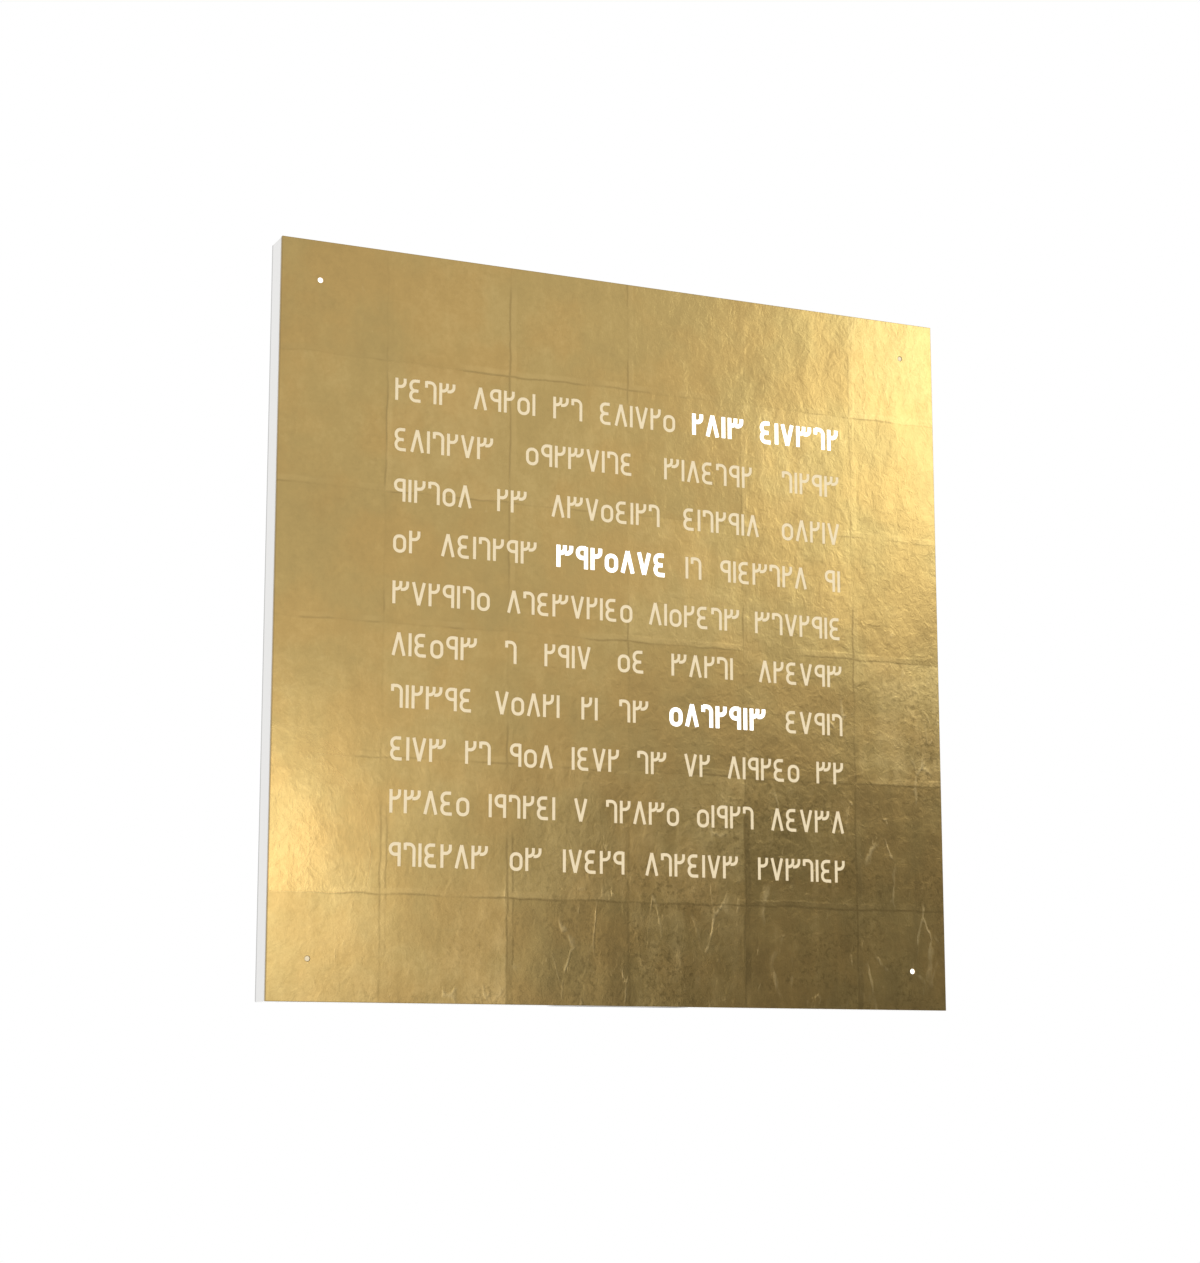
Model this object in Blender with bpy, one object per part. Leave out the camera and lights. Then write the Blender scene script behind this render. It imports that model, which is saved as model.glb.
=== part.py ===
"""A square wall clock: lit characters behind a gilded steel plate, on a lacquered body.

Metres, +Z up. The origin is the middle of the back, which lies against the wall. The face
looks along -Y, and +X is on the right of someone who reads the clock. Depths are counted
from the wall towards the face, so a piece at depth d lies at y = -d.
"""

import math

import bmesh
import bpy
from mathutils import Vector

# Whole clock
FACE_SIDE = 0.450
CLOCK_DEPTH = 0.020
EDGE_BREAK = 0.0005
SEAT_GAP = 0.0003
CUT_OVERRUN = 0.001

# Field of characters: one light chamber for each place, shares of the face's side
ROWS = 10
COLUMNS = 11
FIELD_WIDTH_SHARE = 0.6845
FIELD_HEIGHT_SHARE = 0.6889

# Front plate and the four minute dots
PLATE_THICKNESS = 0.002
PLATE_EDGE_BREAK = 0.0002
DOT_INSET = 0.0243
DOT_RADIUS = 0.00175
LENS_FIT = 0.00015
LENS_CROWN = 0.0002
LENS_FLANGE_RADIUS = 0.0028
LENS_FLANGE_THICKNESS = 0.0008

# Studs on the plate's back, which hang in the body
STUD_RADIUS = 0.002
STUD_LENGTH = 0.0057
STUD_TIP_BREAK = 0.0006

# Bar magnets in the body's front
MAGNET_LENGTH = 0.060
MAGNET_WIDTH = 0.010
MAGNET_THICKNESS = 0.003

# Rear cover, let into the back
REAR_RIM = 0.009
COVER_THICKNESS = 0.0015
COVER_CORNER_RADIUS = 0.004
COVER_SCREW_FROM_EDGE = 0.007
COVER_SCREW_FROM_DOT = 0.0227

# Screws: countersunk for the cover and hangers, pan head for the matrix board
SCREW_HEAD_RADIUS = 0.0026
SCREW_SHANK_RADIUS = 0.00125
SCREW_LENGTH = 0.0085
SCREW_SINK = 0.0001
PAN_HEAD_RADIUS = 0.0020
PAN_HEAD_HEIGHT = 0.0013
PAN_CROWN = 0.0004
PAN_SHANK_RADIUS = 0.0010
PAN_SHANK_LENGTH = 0.0065

# Keyhole hangers, half way up the top margin
HANGER_WIDTH = 0.060
HANGER_HEIGHT = 0.034
HANGER_CORNER_RADIUS = 0.003
HANGER_SPREAD_SHARE = 0.6222
HANGER_SCREW_OFFSET = 0.023
KEYHOLE_ENTRY_RADIUS = 0.005
KEYHOLE_SLOT_RADIUS = 0.0025
KEYHOLE_RISE = 0.010
KEYHOLE_DROP = 0.006
KEYHOLE_POCKET_WIDTH = 0.018
KEYHOLE_POCKET_HEIGHT = 0.026
KEYHOLE_POCKET_DEPTH = 0.0115
POCKET_CORNER_RADIUS = 0.003

# Opal sheet in the front of the window
SHEET_THICKNESS = 0.001
SHEET_LAP = 0.005

# Light grid: a tapered chamber for each character, with a window for its LED
GRID_BORDER = 0.004
CELL_WALL = 0.0016
CELL_DRAFT = 0.0014
CELL_FLOOR = 0.0012
LED_WINDOW = 0.0070
WINDOW_DRAFT = 0.0004

# LED strips
STRIP_WIDTH = 0.010
STRIP_THICKNESS = 0.0006
STRIP_END = 0.002
LED_SIDE = 0.005
LED_HEIGHT = 0.0016
LED_RIM = 0.0010
LED_DISH = 0.0004

# Carrier board of the strips
BOARD_THICKNESS = 0.0016
BOARD_LAP = 0.0055
WIRING_SPACE = 0.0039
BOARD_SCREW_FROM_SIDE = 0.0635

# Electronics pocket in the lower margin
POCKET_SKIN = 0.0029
POCKET_WEB = 0.0037
POCKET_SILL = 0.011
POCKET_ROOM = 0.005
CONTROL_BOARD_WIDTH = 0.140

# Cable between the boards, and its headers
HEADER_LENGTH = 0.020
HEADER_WIDTH = 0.005
MATRIX_HEADER_HEIGHT = 0.0025
CONTROL_HEADER_HEIGHT = 0.004
MATRIX_HEADER_FROM_EDGE = 0.008
RIBBON_WIDTH = 0.016
RIBBON_THICKNESS = 0.0008
RIBBON_PASSAGE_DEPTH = 0.012
RIBBON_BEND_LENGTH = 0.0070

# Chips and the backup cell
CHIP_SIDE = 0.012
CHIP_HEIGHT = 0.0014
CHIP_FROM_BOARD_END = 0.050
CELL_RADIUS = 0.010
CELL_THICKNESS = 0.0032
CELL_EDGE_BREAK = 0.0004
HOLDER_WALL = 0.0012
HOLDER_BASE = 0.0008
HOLDER_HEIGHT = 0.0030
CELL_FROM_BOARD_END = 0.025

# Insert in the underside, with the buttons, the light sensor and the plug socket
PANEL_LENGTH = 0.090
PANEL_WIDTH = 0.012
PANEL_THICKNESS = 0.002
PANEL_SINK = 0.0015
PANEL_LEDGE = 0.0015
PANEL_END_RADIUS = 0.003
BUTTON_FROM_PANEL_END = 0.013
BUTTON_PITCH = 0.012
BUTTON_RADIUS = 0.0025
BUTTON_EDGE_BREAK = 0.0004
BUTTON_PROUD = 0.0008
BUTTON_TRAVEL = 0.0008
BUTTON_FLANGE = 0.0009
BUTTON_FLANGE_THICKNESS = 0.001
BUTTON_STEM_RADIUS = 0.0015
SWITCH_WIDTH = 0.007
SWITCH_LENGTH = 0.005
SWITCH_OVER_AXIS = 0.003
SWITCH_REACH = 0.0008
SWITCH_SPARE = 0.0014
SENSOR_FROM_BUTTON = 0.016
SENSOR_RADIUS = 0.0018
SENSOR_WINDOW_RADIUS = 0.0012
SENSOR_BASE_SIDE = 0.005
JACK_FROM_PANEL_END = 0.017
JACK_WIDTH = 0.009
JACK_LENGTH = 0.013
JACK_BEHIND_AXIS = 0.0042
JACK_BORE_RADIUS = 0.0031
JACK_BORE_DEPTH = 0.010
JACK_PIN_RADIUS = 0.001
JACK_PIN_LENGTH = 0.007

# Corner LED boards and their leads
CORNER_BOARD_SIDE = 0.015
CORNER_POCKET_SIDE = 0.020
CORNER_SKIN = 0.004
CORNER_BORE_RADIUS = 0.0042
LEAD_RADIUS = 0.0008
LEAD_GROOVE_WIDTH = 0.003
LEAD_START_INSET = 0.009
LEAD_END_INSET = 0.0015
LEAD_END_FLAT = 0.001

# Facets
ROUND_SEGMENTS = 20
BUTTON_SEGMENTS = 16
SCREW_SEGMENTS = 10
LENS_SEGMENTS = 16
CORNER_SEGMENTS = 3
LEAD_STEPS = 8
RIBBON_STEPS = 10
SHARP_ANGLE = math.radians(35)
MERGE_DISTANCE = 0.000001

# Turns that point a round piece's own +Z where it belongs
TO_FACE = (math.pi / 2, 0, 0)
TO_WALL = (-math.pi / 2, 0, 0)
UPRIGHT = (0, 0, 0)

# Depths from the wall, worked out from the sizes above
PLATE_BACK = CLOCK_DEPTH - PLATE_THICKNESS
BODY_FRONT = PLATE_BACK - SEAT_GAP
SHEET_BACK = BODY_FRONT - SHEET_THICKNESS
GRID_FRONT = SHEET_BACK - SEAT_GAP
REBATE_FLOOR = COVER_THICKNESS + SEAT_GAP
BOARD_BACK = COVER_THICKNESS + WIRING_SPACE
BOARD_FRONT = BOARD_BACK + BOARD_THICKNESS
STRIP_BACK = BOARD_FRONT + SEAT_GAP
STRIP_FRONT = STRIP_BACK + STRIP_THICKNESS
LED_FRONT = STRIP_FRONT + LED_HEIGHT
GRID_BACK = STRIP_FRONT + SEAT_GAP
POCKET_FLOOR = BODY_FRONT - POCKET_SKIN
CONTROL_FRONT = POCKET_FLOOR - SEAT_GAP
CONTROL_BACK = CONTROL_FRONT - BOARD_THICKNESS
CHIP_FRONT = CONTROL_BACK - SEAT_GAP
KEY_AXIS_DEPTH = CHIP_FRONT - JACK_BEHIND_AXIS
CORNER_FLOOR = BODY_FRONT - CORNER_SKIN
CORNER_FRONT = CORNER_FLOOR - SEAT_GAP
CORNER_BACK = CORNER_FRONT - BOARD_THICKNESS

# Half sizes and heights, worked out from the sizes above
HALF_SIDE = FACE_SIDE / 2
DOT_OFFSET = HALF_SIDE - DOT_INSET
COLUMN_PITCH = FACE_SIDE * FIELD_WIDTH_SHARE / COLUMNS
ROW_PITCH = FACE_SIDE * FIELD_HEIGHT_SHARE / ROWS
GRID_HALF_WIDTH = COLUMNS * COLUMN_PITCH / 2 + GRID_BORDER
GRID_HALF_HEIGHT = ROWS * ROW_PITCH / 2 + GRID_BORDER
BOARD_HALF_WIDTH = GRID_HALF_WIDTH + BOARD_LAP
BOARD_HALF_HEIGHT = GRID_HALF_HEIGHT + BOARD_LAP
BOARD_SCREW_FROM_MIDDLE = BOARD_HALF_WIDTH - BOARD_SCREW_FROM_SIDE
COVER_HALF = HALF_SIDE - REAR_RIM - SEAT_GAP
COVER_SCREW_HEIGHT = DOT_OFFSET - COVER_SCREW_FROM_DOT
SIDE_MARGIN_MIDDLE = (GRID_HALF_WIDTH + SHEET_LAP + HALF_SIDE) / 2
STUD_HEIGHT = HALF_SIDE / 2
HANGER_FROM_MIDDLE = HALF_SIDE * HANGER_SPREAD_SHARE
HANGER_CENTRE_HEIGHT = (BOARD_HALF_HEIGHT + COVER_HALF) / 2
POCKET_TOP = -(BOARD_HALF_HEIGHT + SEAT_GAP + POCKET_WEB)
POCKET_BOTTOM = POCKET_SILL - HALF_SIDE
CONTROL_BOTTOM = POCKET_BOTTOM + SEAT_GAP
CONTROL_TOP = POCKET_TOP - POCKET_ROOM
POCKET_WIDTH = CONTROL_BOARD_WIDTH + POCKET_ROOM * 2
CHIP_FROM_MIDDLE = CHIP_FROM_BOARD_END - CONTROL_BOARD_WIDTH / 2
CELL_FROM_MIDDLE = CONTROL_BOARD_WIDTH / 2 - CELL_FROM_BOARD_END
CHIP_HEIGHT_MIDDLE = (CONTROL_BOTTOM + CONTROL_TOP) / 2
MODE_FROM_MIDDLE = BUTTON_FROM_PANEL_END - PANEL_LENGTH / 2
BUTTON_PLACES = {
    "mode": MODE_FROM_MIDDLE,
    "minus": MODE_FROM_MIDDLE + BUTTON_PITCH,
    "plus": MODE_FROM_MIDDLE + BUTTON_PITCH * 2,
}
SENSOR_FROM_MIDDLE = BUTTON_PLACES["plus"] + SENSOR_FROM_BUTTON
JACK_FROM_MIDDLE = PANEL_LENGTH / 2 - JACK_FROM_PANEL_END
PANEL_BOTTOM = PANEL_SINK - HALF_SIDE
PANEL_TOP = PANEL_BOTTOM + PANEL_THICKNESS
PANEL_SEAT = PANEL_TOP + SEAT_GAP
SWITCH_BOTTOM = CONTROL_BOTTOM + SEAT_GAP
SWITCH_BORE_DEPTH = SWITCH_REACH + BUTTON_TRAVEL + SWITCH_SPARE
CORNERS = {"top_left": (-1, 1), "top_right": (1, 1), "bottom_left": (-1, -1), "bottom_right": (1, -1)}
SIDES = {"left": -1, "right": 1}


def clear_scene():
    """Removes what the scene holds."""
    for old in list(bpy.data.objects):
        bpy.data.objects.remove(old, do_unlink=True)


def finish(name, colour, roughness, metallic):
    """A plain surface of one colour."""
    made = bpy.data.materials.new(name)
    made.use_nodes = True
    shader = made.node_tree.nodes["Principled BSDF"]
    shader.inputs["Base Color"].default_value = (*colour, 1)
    shader.inputs["Roughness"].default_value = roughness
    shader.inputs["Metallic"].default_value = metallic
    made.diffuse_color = (*colour, 1)
    return made


def span(middle, length):
    """The two ends of a length about its middle."""
    return middle - length / 2, middle + length / 2


def piece(name, mesh, at=(0, 0, 0), turn=UPRIGHT):
    """An object of its own in the scene, placed and turned."""
    made = bpy.data.objects.new(name, mesh)
    made.location = at
    made.rotation_euler = turn
    bpy.context.scene.collection.objects.link(made)
    return made


def mesh_of(name, form, smooth=False):
    """Turns the form into a mesh with its faces pointing out."""
    bmesh.ops.remove_doubles(form, verts=form.verts, dist=MERGE_DISTANCE)
    bmesh.ops.recalc_face_normals(form, faces=form.faces)
    mesh = bpy.data.meshes.new(name)
    form.to_mesh(mesh)
    form.free()
    if smooth:
        mesh.shade_smooth()
        mesh.set_sharp_from_angle(angle=SHARP_ANGLE)
    return mesh


def block(name, x, z, depth):
    """A box between two places across, two heights and two depths."""
    size = (x[1] - x[0], depth[1] - depth[0], z[1] - z[0])
    middle = ((x[0] + x[1]) / 2, -(depth[0] + depth[1]) / 2, (z[0] + z[1]) / 2)
    form = bmesh.new()
    bmesh.ops.create_cube(form, size=1)
    bmesh.ops.scale(form, vec=size, verts=form.verts)
    return piece(name, mesh_of(name, form), middle)


def rounded_outline(width, height, radius):
    """Points of a rectangle with round corners, about its middle."""
    points = []
    for turn, (side, up) in enumerate(((1, 1), (-1, 1), (-1, -1), (1, -1))):
        middle = Vector((side * (width / 2 - radius), up * (height / 2 - radius)))
        for step in range(CORNER_SEGMENTS + 1):
            angle = (turn + step / CORNER_SEGMENTS) * math.pi / 2
            points.append(middle + radius * Vector((math.cos(angle), math.sin(angle))))
    return points


def plate(name, outline, at, back, front):
    """An outline across and up, extruded from one depth to another."""
    form = bmesh.new()
    rim = [form.verts.new((x, -back, z)) for x, z in outline]
    pushed = bmesh.ops.extrude_face_region(form, geom=[form.faces.new(rim)])
    moved = [v for v in pushed["geom"] if isinstance(v, bmesh.types.BMVert)]
    bmesh.ops.translate(form, vec=(0, back - front, 0), verts=moved)
    return piece(name, mesh_of(name, form, smooth=True), (at[0], 0, at[1]))


def turned_mesh(name, profile, segments):
    """A solid turned about its own Z, from (radius, height) points that start and end on the axis."""
    form = bmesh.new()
    points = [form.verts.new((radius, 0, height)) for radius, height in profile]
    edges = [form.edges.new(pair) for pair in zip(points, points[1:])]
    bmesh.ops.spin(
        form,
        geom=points + edges,
        cent=(0, 0, 0),
        axis=(0, 0, 1),
        angle=2 * math.pi,
        steps=segments,
        use_merge=True,
    )
    return mesh_of(name, form, smooth=True)


def cylinder(name, radius, low, high, at, turn, segments=ROUND_SEGMENTS):
    """A round bar or a round cutter between two heights on its own axis."""
    profile = [(0, low), (radius, low), (radius, high), (0, high)]
    return piece(name, turned_mesh(name, profile, segments), at, turn)


def cut(target, cutter):
    """Takes the cutter's shape out of the target."""
    cutter.hide_render = True
    cutter.display_type = "WIRE"
    cutter.name = f"{target.name}_cutter_{len(target.modifiers)}"
    opening = target.modifiers.new("opening", "BOOLEAN")
    opening.operation = "DIFFERENCE"
    opening.solver = "EXACT"
    opening.object = cutter


def join_on(target, part):
    """Makes the part one with the target."""
    part.hide_render = True
    part.display_type = "WIRE"
    part.name = f"{target.name}_part_{len(target.modifiers)}"
    joint = target.modifiers.new("joined", "BOOLEAN")
    joint.operation = "UNION"
    joint.solver = "EXACT"
    joint.object = part


def cut_block(target, x, z, depth):
    """Takes a box out of the target."""
    cut(target, block("cutter", x, z, depth))


def break_edges(target, width):
    """Takes the sharpness off every edge."""
    edge = target.modifiers.new("edge_break", "BEVEL")
    edge.width = width
    edge.segments = 1
    edge.limit_method = "ANGLE"
    edge.angle_limit = SHARP_ANGLE


def dress(target, material, parent=None):
    """Gives a piece its material and what it is carried by."""
    target.data.materials.clear()
    target.data.materials.append(material)
    if parent is not None:
        target.parent = parent
    return target


def eased(share):
    """A share from 0 to 1 that starts and ends gently."""
    return share * share * (3 - 2 * share)


def row_height(row):
    """The middle height of a row of characters, counted from the top."""
    return ((ROWS - 1) / 2 - row) * ROW_PITCH


def column_place(column):
    """The middle of a column, counted from the left."""
    return (column - (COLUMNS - 1) / 2) * COLUMN_PITCH


def ring(form, x, z, depth):
    """Four corners of a rectangle at one depth."""
    corners = ((x[0], z[0]), (x[1], z[0]), (x[1], z[1]), (x[0], z[1]))
    return [form.verts.new((across, -depth, up)) for across, up in corners]


def wall_between(form, near, far, sides=range(4)):
    """Faces between two rings of four corners."""
    for side in sides:
        following = (side + 1) % 4
        form.faces.new((near[side], near[following], far[following], far[side]))


def territory(index, count, place, pitch, margin):
    """The stretch that one place of a pattern holds; the end places also hold the margin."""
    low, high = span(place, pitch)
    if index == 0:
        low -= margin
    if index == count - 1:
        high += margin
    return low, high


def outer_sides(column, columns, row, rows):
    """The sides of a place that lie on the pattern's outer edge, as the sides of its ring."""
    found = {0: row == rows - 1, 1: column == columns - 1, 2: row == 0, 3: column == 0}
    return [side for side, there in found.items() if there]


def make_light_grid():
    """Walls between the characters, as one moulding with a tapered chamber for each."""
    form = bmesh.new()
    floor = GRID_BACK + CELL_FLOOR
    for row in range(ROWS):
        up = row_height(row)
        high = territory(ROWS - 1 - row, ROWS, up, ROW_PITCH, GRID_BORDER)
        for column in range(COLUMNS):
            across = column_place(column)
            wide = territory(column, COLUMNS, across, COLUMN_PITCH, GRID_BORDER)
            mouth = (COLUMN_PITCH - CELL_WALL, ROW_PITCH - CELL_WALL)
            base = (mouth[0] - CELL_DRAFT * 2, mouth[1] - CELL_DRAFT * 2)
            window = LED_WINDOW + WINDOW_DRAFT * 2
            rings = [
                ring(form, wide, high, GRID_FRONT),
                ring(form, span(across, mouth[0]), span(up, mouth[1]), GRID_FRONT),
                ring(form, span(across, base[0]), span(up, base[1]), floor),
                ring(form, span(across, window), span(up, window), floor),
                ring(form, span(across, LED_WINDOW), span(up, LED_WINDOW), GRID_BACK),
                ring(form, wide, high, GRID_BACK),
            ]
            for near, far in zip(rings, rings[1:]):
                wall_between(form, near, far)
            wall_between(form, rings[0], rings[-1], outer_sides(column, COLUMNS, row, ROWS))
    return piece("light_grid", mesh_of("light_grid", form))


def led_levels(form, across, up):
    """The rings of one LED with its dished top, from its foot to the middle of the dish."""
    dish = LED_SIDE - LED_RIM * 2
    return [
        ring(form, span(across, LED_SIDE), span(up, LED_SIDE), STRIP_FRONT),
        ring(form, span(across, LED_SIDE), span(up, LED_SIDE), LED_FRONT),
        ring(form, span(across, dish), span(up, dish), LED_FRONT - LED_DISH),
    ]


def make_led_strip(row):
    """A rigid strip with one LED behind each character of a row."""
    form = bmesh.new()
    high = span(0, STRIP_WIDTH)
    for column in range(COLUMNS):
        across = column_place(column)
        wide = territory(column, COLUMNS, across, COLUMN_PITCH, STRIP_END)
        rings = [
            ring(form, wide, high, STRIP_BACK),
            ring(form, wide, high, STRIP_FRONT),
            *led_levels(form, across, 0),
        ]
        form.faces.new(rings[0])
        wall_between(form, rings[0], rings[1], outer_sides(column, COLUMNS, 0, 1))
        for near, far in zip(rings[1:], rings[2:]):
            wall_between(form, near, far)
        form.faces.new(rings[-1])
    name = f"led_strip_{row + 1:02d}"
    return piece(name, mesh_of(name, form), (0, 0, row_height(row)))


def screw_profile(clearance=0):
    """Half outline of a countersunk screw, its head at the wall; a cutter has a clearance."""
    head = SCREW_HEAD_RADIUS + clearance
    shank = SCREW_SHANK_RADIUS + clearance
    top = -SCREW_SINK
    neck = top - (SCREW_HEAD_RADIUS - SCREW_SHANK_RADIUS)
    tip = top - SCREW_LENGTH - clearance
    start = CUT_OVERRUN if clearance else top
    outline = [(0, start), (head, start)]
    if clearance:
        outline.append((head, top))
    outline += [(shank, neck), (shank, tip + shank), (0, tip)]
    return outline


def make_countersunk_screw(name, x, z):
    """A wood screw that lies flush with the wall face."""
    return piece(name, turned_mesh(name, screw_profile(), SCREW_SEGMENTS), (x, 0, z), TO_WALL)


def screw_hole(target, x, z):
    """The hole that such a screw goes in."""
    mesh = turned_mesh("screw_hole", screw_profile(SEAT_GAP), SCREW_SEGMENTS)
    cut(target, piece("cutter", mesh, (x, 0, z), TO_WALL))


def pilot_hole(target, x, z):
    """The plain hole that such a screw bites in."""
    radius = SCREW_SHANK_RADIUS + SEAT_GAP
    depth = SCREW_SINK + SCREW_LENGTH + SEAT_GAP
    cut(target, cylinder("cutter", radius, 0, depth, (x, 0, z), TO_FACE, SCREW_SEGMENTS))


def cover_screw_places():
    """Where the rear cover's screws are, by name."""
    across = HALF_SIDE - REAR_RIM - COVER_SCREW_FROM_EDGE
    return {name: (side * across, up * COVER_SCREW_HEIGHT) for name, (side, up) in CORNERS.items()}


def hanger_screw_places():
    """Where the hangers' screws are, by name."""
    places = {}
    for hand, side in SIDES.items():
        for end, way in (("outer", side), ("inner", -side)):
            across = side * HANGER_FROM_MIDDLE + way * HANGER_SCREW_OFFSET
            places[f"{hand}_{end}"] = (across, HANGER_CENTRE_HEIGHT)
    return places


def board_screw_places():
    """Where the matrix board's screws are, by name: in the land that the board seats on."""
    up = GRID_HALF_HEIGHT + SEAT_GAP + BOARD_LAP / 2
    return {name: (side * BOARD_SCREW_FROM_MIDDLE, way * up) for name, (side, way) in CORNERS.items()}


def keyhole(target, x, z, back, front):
    """A round entry with a slot above it, cut through the target."""
    centre = z - KEYHOLE_DROP
    depth = (0, front - back)
    at = (x, -back, centre)
    cut(target, cylinder("cutter", KEYHOLE_ENTRY_RADIUS, *depth, at, TO_FACE))
    slot = []
    for step in range(ROUND_SEGMENTS // 2 + 1):
        angle = math.pi * step / (ROUND_SEGMENTS // 2)
        reach = KEYHOLE_SLOT_RADIUS
        slot.append((reach * math.cos(angle), KEYHOLE_RISE + reach * math.sin(angle)))
    slot += [(-KEYHOLE_SLOT_RADIUS, 0), (KEYHOLE_SLOT_RADIUS, 0)]
    cut(target, plate("cutter", slot, (x, centre), back, front))


def make_housing():
    """The lacquered body: window, rebates, pockets, grooves and bores."""
    body = block("housing", span(0, FACE_SIDE), span(0, FACE_SIDE), (0, BODY_FRONT))
    break_edges(body, EDGE_BREAK)
    beyond_back = -CUT_OVERRUN
    beyond_front = BODY_FRONT + CUT_OVERRUN

    window_width = (GRID_HALF_WIDTH + SEAT_GAP) * 2
    window_height = (GRID_HALF_HEIGHT + SEAT_GAP) * 2
    cut_block(body, span(0, window_width), span(0, window_height), (beyond_back, beyond_front))
    sheet_width = (GRID_HALF_WIDTH + SHEET_LAP + SEAT_GAP) * 2
    sheet_height = (GRID_HALF_HEIGHT + SHEET_LAP + SEAT_GAP) * 2
    front_rebate = (SHEET_BACK - SEAT_GAP, beyond_front)
    cut_block(body, span(0, sheet_width), span(0, sheet_height), front_rebate)
    board_width = (BOARD_HALF_WIDTH + SEAT_GAP) * 2
    board_height = (BOARD_HALF_HEIGHT + SEAT_GAP) * 2
    seat = BOARD_FRONT + SEAT_GAP
    cut_block(body, span(0, board_width), span(0, board_height), (beyond_back, seat))
    rebate_side = (COVER_HALF + SEAT_GAP) * 2
    rebate = rounded_outline(rebate_side, rebate_side, COVER_CORNER_RADIUS + SEAT_GAP)
    cut(body, plate("cutter", rebate, (0, 0), beyond_back, REBATE_FLOOR))

    cut_block(body, span(0, POCKET_WIDTH), (POCKET_BOTTOM, POCKET_TOP), (beyond_back, POCKET_FLOOR))
    passage = (POCKET_TOP - CUT_OVERRUN, -BOARD_HALF_HEIGHT)
    cut_block(body, span(0, HEADER_LENGTH), passage, (beyond_back, RIBBON_PASSAGE_DEPTH))
    recess = rounded_outline(PANEL_LENGTH + SEAT_GAP * 2, PANEL_WIDTH + SEAT_GAP * 2, PANEL_END_RADIUS)
    cut(body, panel_form("cutter", recess, -HALF_SIDE - CUT_OVERRUN, PANEL_SEAT))
    throat_depth = span(KEY_AXIS_DEPTH, PANEL_WIDTH - PANEL_LEDGE * 2)
    throat_width = span(0, PANEL_LENGTH - PANEL_LEDGE * 2)
    cut_block(body, throat_width, (PANEL_SEAT - CUT_OVERRUN, POCKET_BOTTOM + CUT_OVERRUN), throat_depth)

    for side, up in CORNERS.values():
        x, z = side * DOT_OFFSET, up * DOT_OFFSET
        hollow = (beyond_back, CORNER_FLOOR)
        cut_block(body, span(x, CORNER_POCKET_SIDE), span(z, CORNER_POCKET_SIDE), hollow)
        at = (x, -CORNER_FLOOR, z)
        reach = beyond_front - CORNER_FLOOR
        cut(body, cylinder("cutter", CORNER_BORE_RADIUS, -CUT_OVERRUN, reach, at, TO_FACE))
        cut(body, groove_cutter(side, up))

    for side in SIDES.values():
        magnet_x = side * SIDE_MARGIN_MIDDLE
        width = MAGNET_WIDTH + SEAT_GAP * 2
        length = MAGNET_LENGTH + SEAT_GAP * 2
        bed = (BODY_FRONT - MAGNET_THICKNESS - SEAT_GAP, beyond_front)
        cut_block(body, span(magnet_x, width), span(0, length), bed)
        at = (side * SIDE_MARGIN_MIDDLE, -PLATE_BACK, STUD_HEIGHT)
        radius = STUD_RADIUS + SEAT_GAP
        cut(body, cylinder("cutter", radius, -CUT_OVERRUN, STUD_LENGTH + SEAT_GAP * 2, at, TO_WALL))
        hanger_x = side * HANGER_FROM_MIDDLE
        hollow = rounded_outline(KEYHOLE_POCKET_WIDTH, KEYHOLE_POCKET_HEIGHT, POCKET_CORNER_RADIUS)
        at = (hanger_x, HANGER_CENTRE_HEIGHT)
        cut(body, plate("cutter", hollow, at, beyond_back, KEYHOLE_POCKET_DEPTH))

    for x, z in (*cover_screw_places().values(), *hanger_screw_places().values()):
        pilot_hole(body, x, z)
    for x, z in board_screw_places().values():
        radius = PAN_SHANK_RADIUS + SEAT_GAP
        at = (x, -BOARD_BACK, z)
        cut(body, cylinder("cutter", radius, 0, PAN_SHANK_LENGTH + SEAT_GAP, at, TO_FACE, SCREW_SEGMENTS))
    return body


def groove_cutter(side, up):
    """The groove in the back that a corner lead lies in, from the matrix board to its corner."""
    start = Vector((BOARD_HALF_WIDTH - LEAD_START_INSET, BOARD_HALF_HEIGHT - LEAD_START_INSET))
    end = Vector((DOT_OFFSET, DOT_OFFSET))
    middle = (start + end) / 2
    run = end - start
    floor = BOARD_BACK + SEAT_GAP
    made = block("cutter", span(0, run.length), span(0, LEAD_GROOVE_WIDTH), (-CUT_OVERRUN, floor))
    made.location = (side * middle.x, made.location.y, up * middle.y)
    made.rotation_euler = (0, -side * up * math.atan2(run.y, run.x), 0)
    return made


def make_diffuser_sheet():
    """The opal sheet in the front of the window."""
    width = (GRID_HALF_WIDTH + SHEET_LAP) * 2
    height = (GRID_HALF_HEIGHT + SHEET_LAP) * 2
    return block("diffuser_sheet", span(0, width), span(0, height), (SHEET_BACK, BODY_FRONT))


def make_front_plate():
    """The gilded plate, with its four dot holes."""
    face = block("front_plate", span(0, FACE_SIDE), span(0, FACE_SIDE), (PLATE_BACK, CLOCK_DEPTH))
    break_edges(face, PLATE_EDGE_BREAK)
    for side, up in CORNERS.values():
        at = (side * DOT_OFFSET, -PLATE_BACK, up * DOT_OFFSET)
        reach = PLATE_THICKNESS + CUT_OVERRUN
        cut(face, cylinder("cutter", DOT_RADIUS, -CUT_OVERRUN, reach, at, TO_FACE, LENS_SEGMENTS))
    return face


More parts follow.
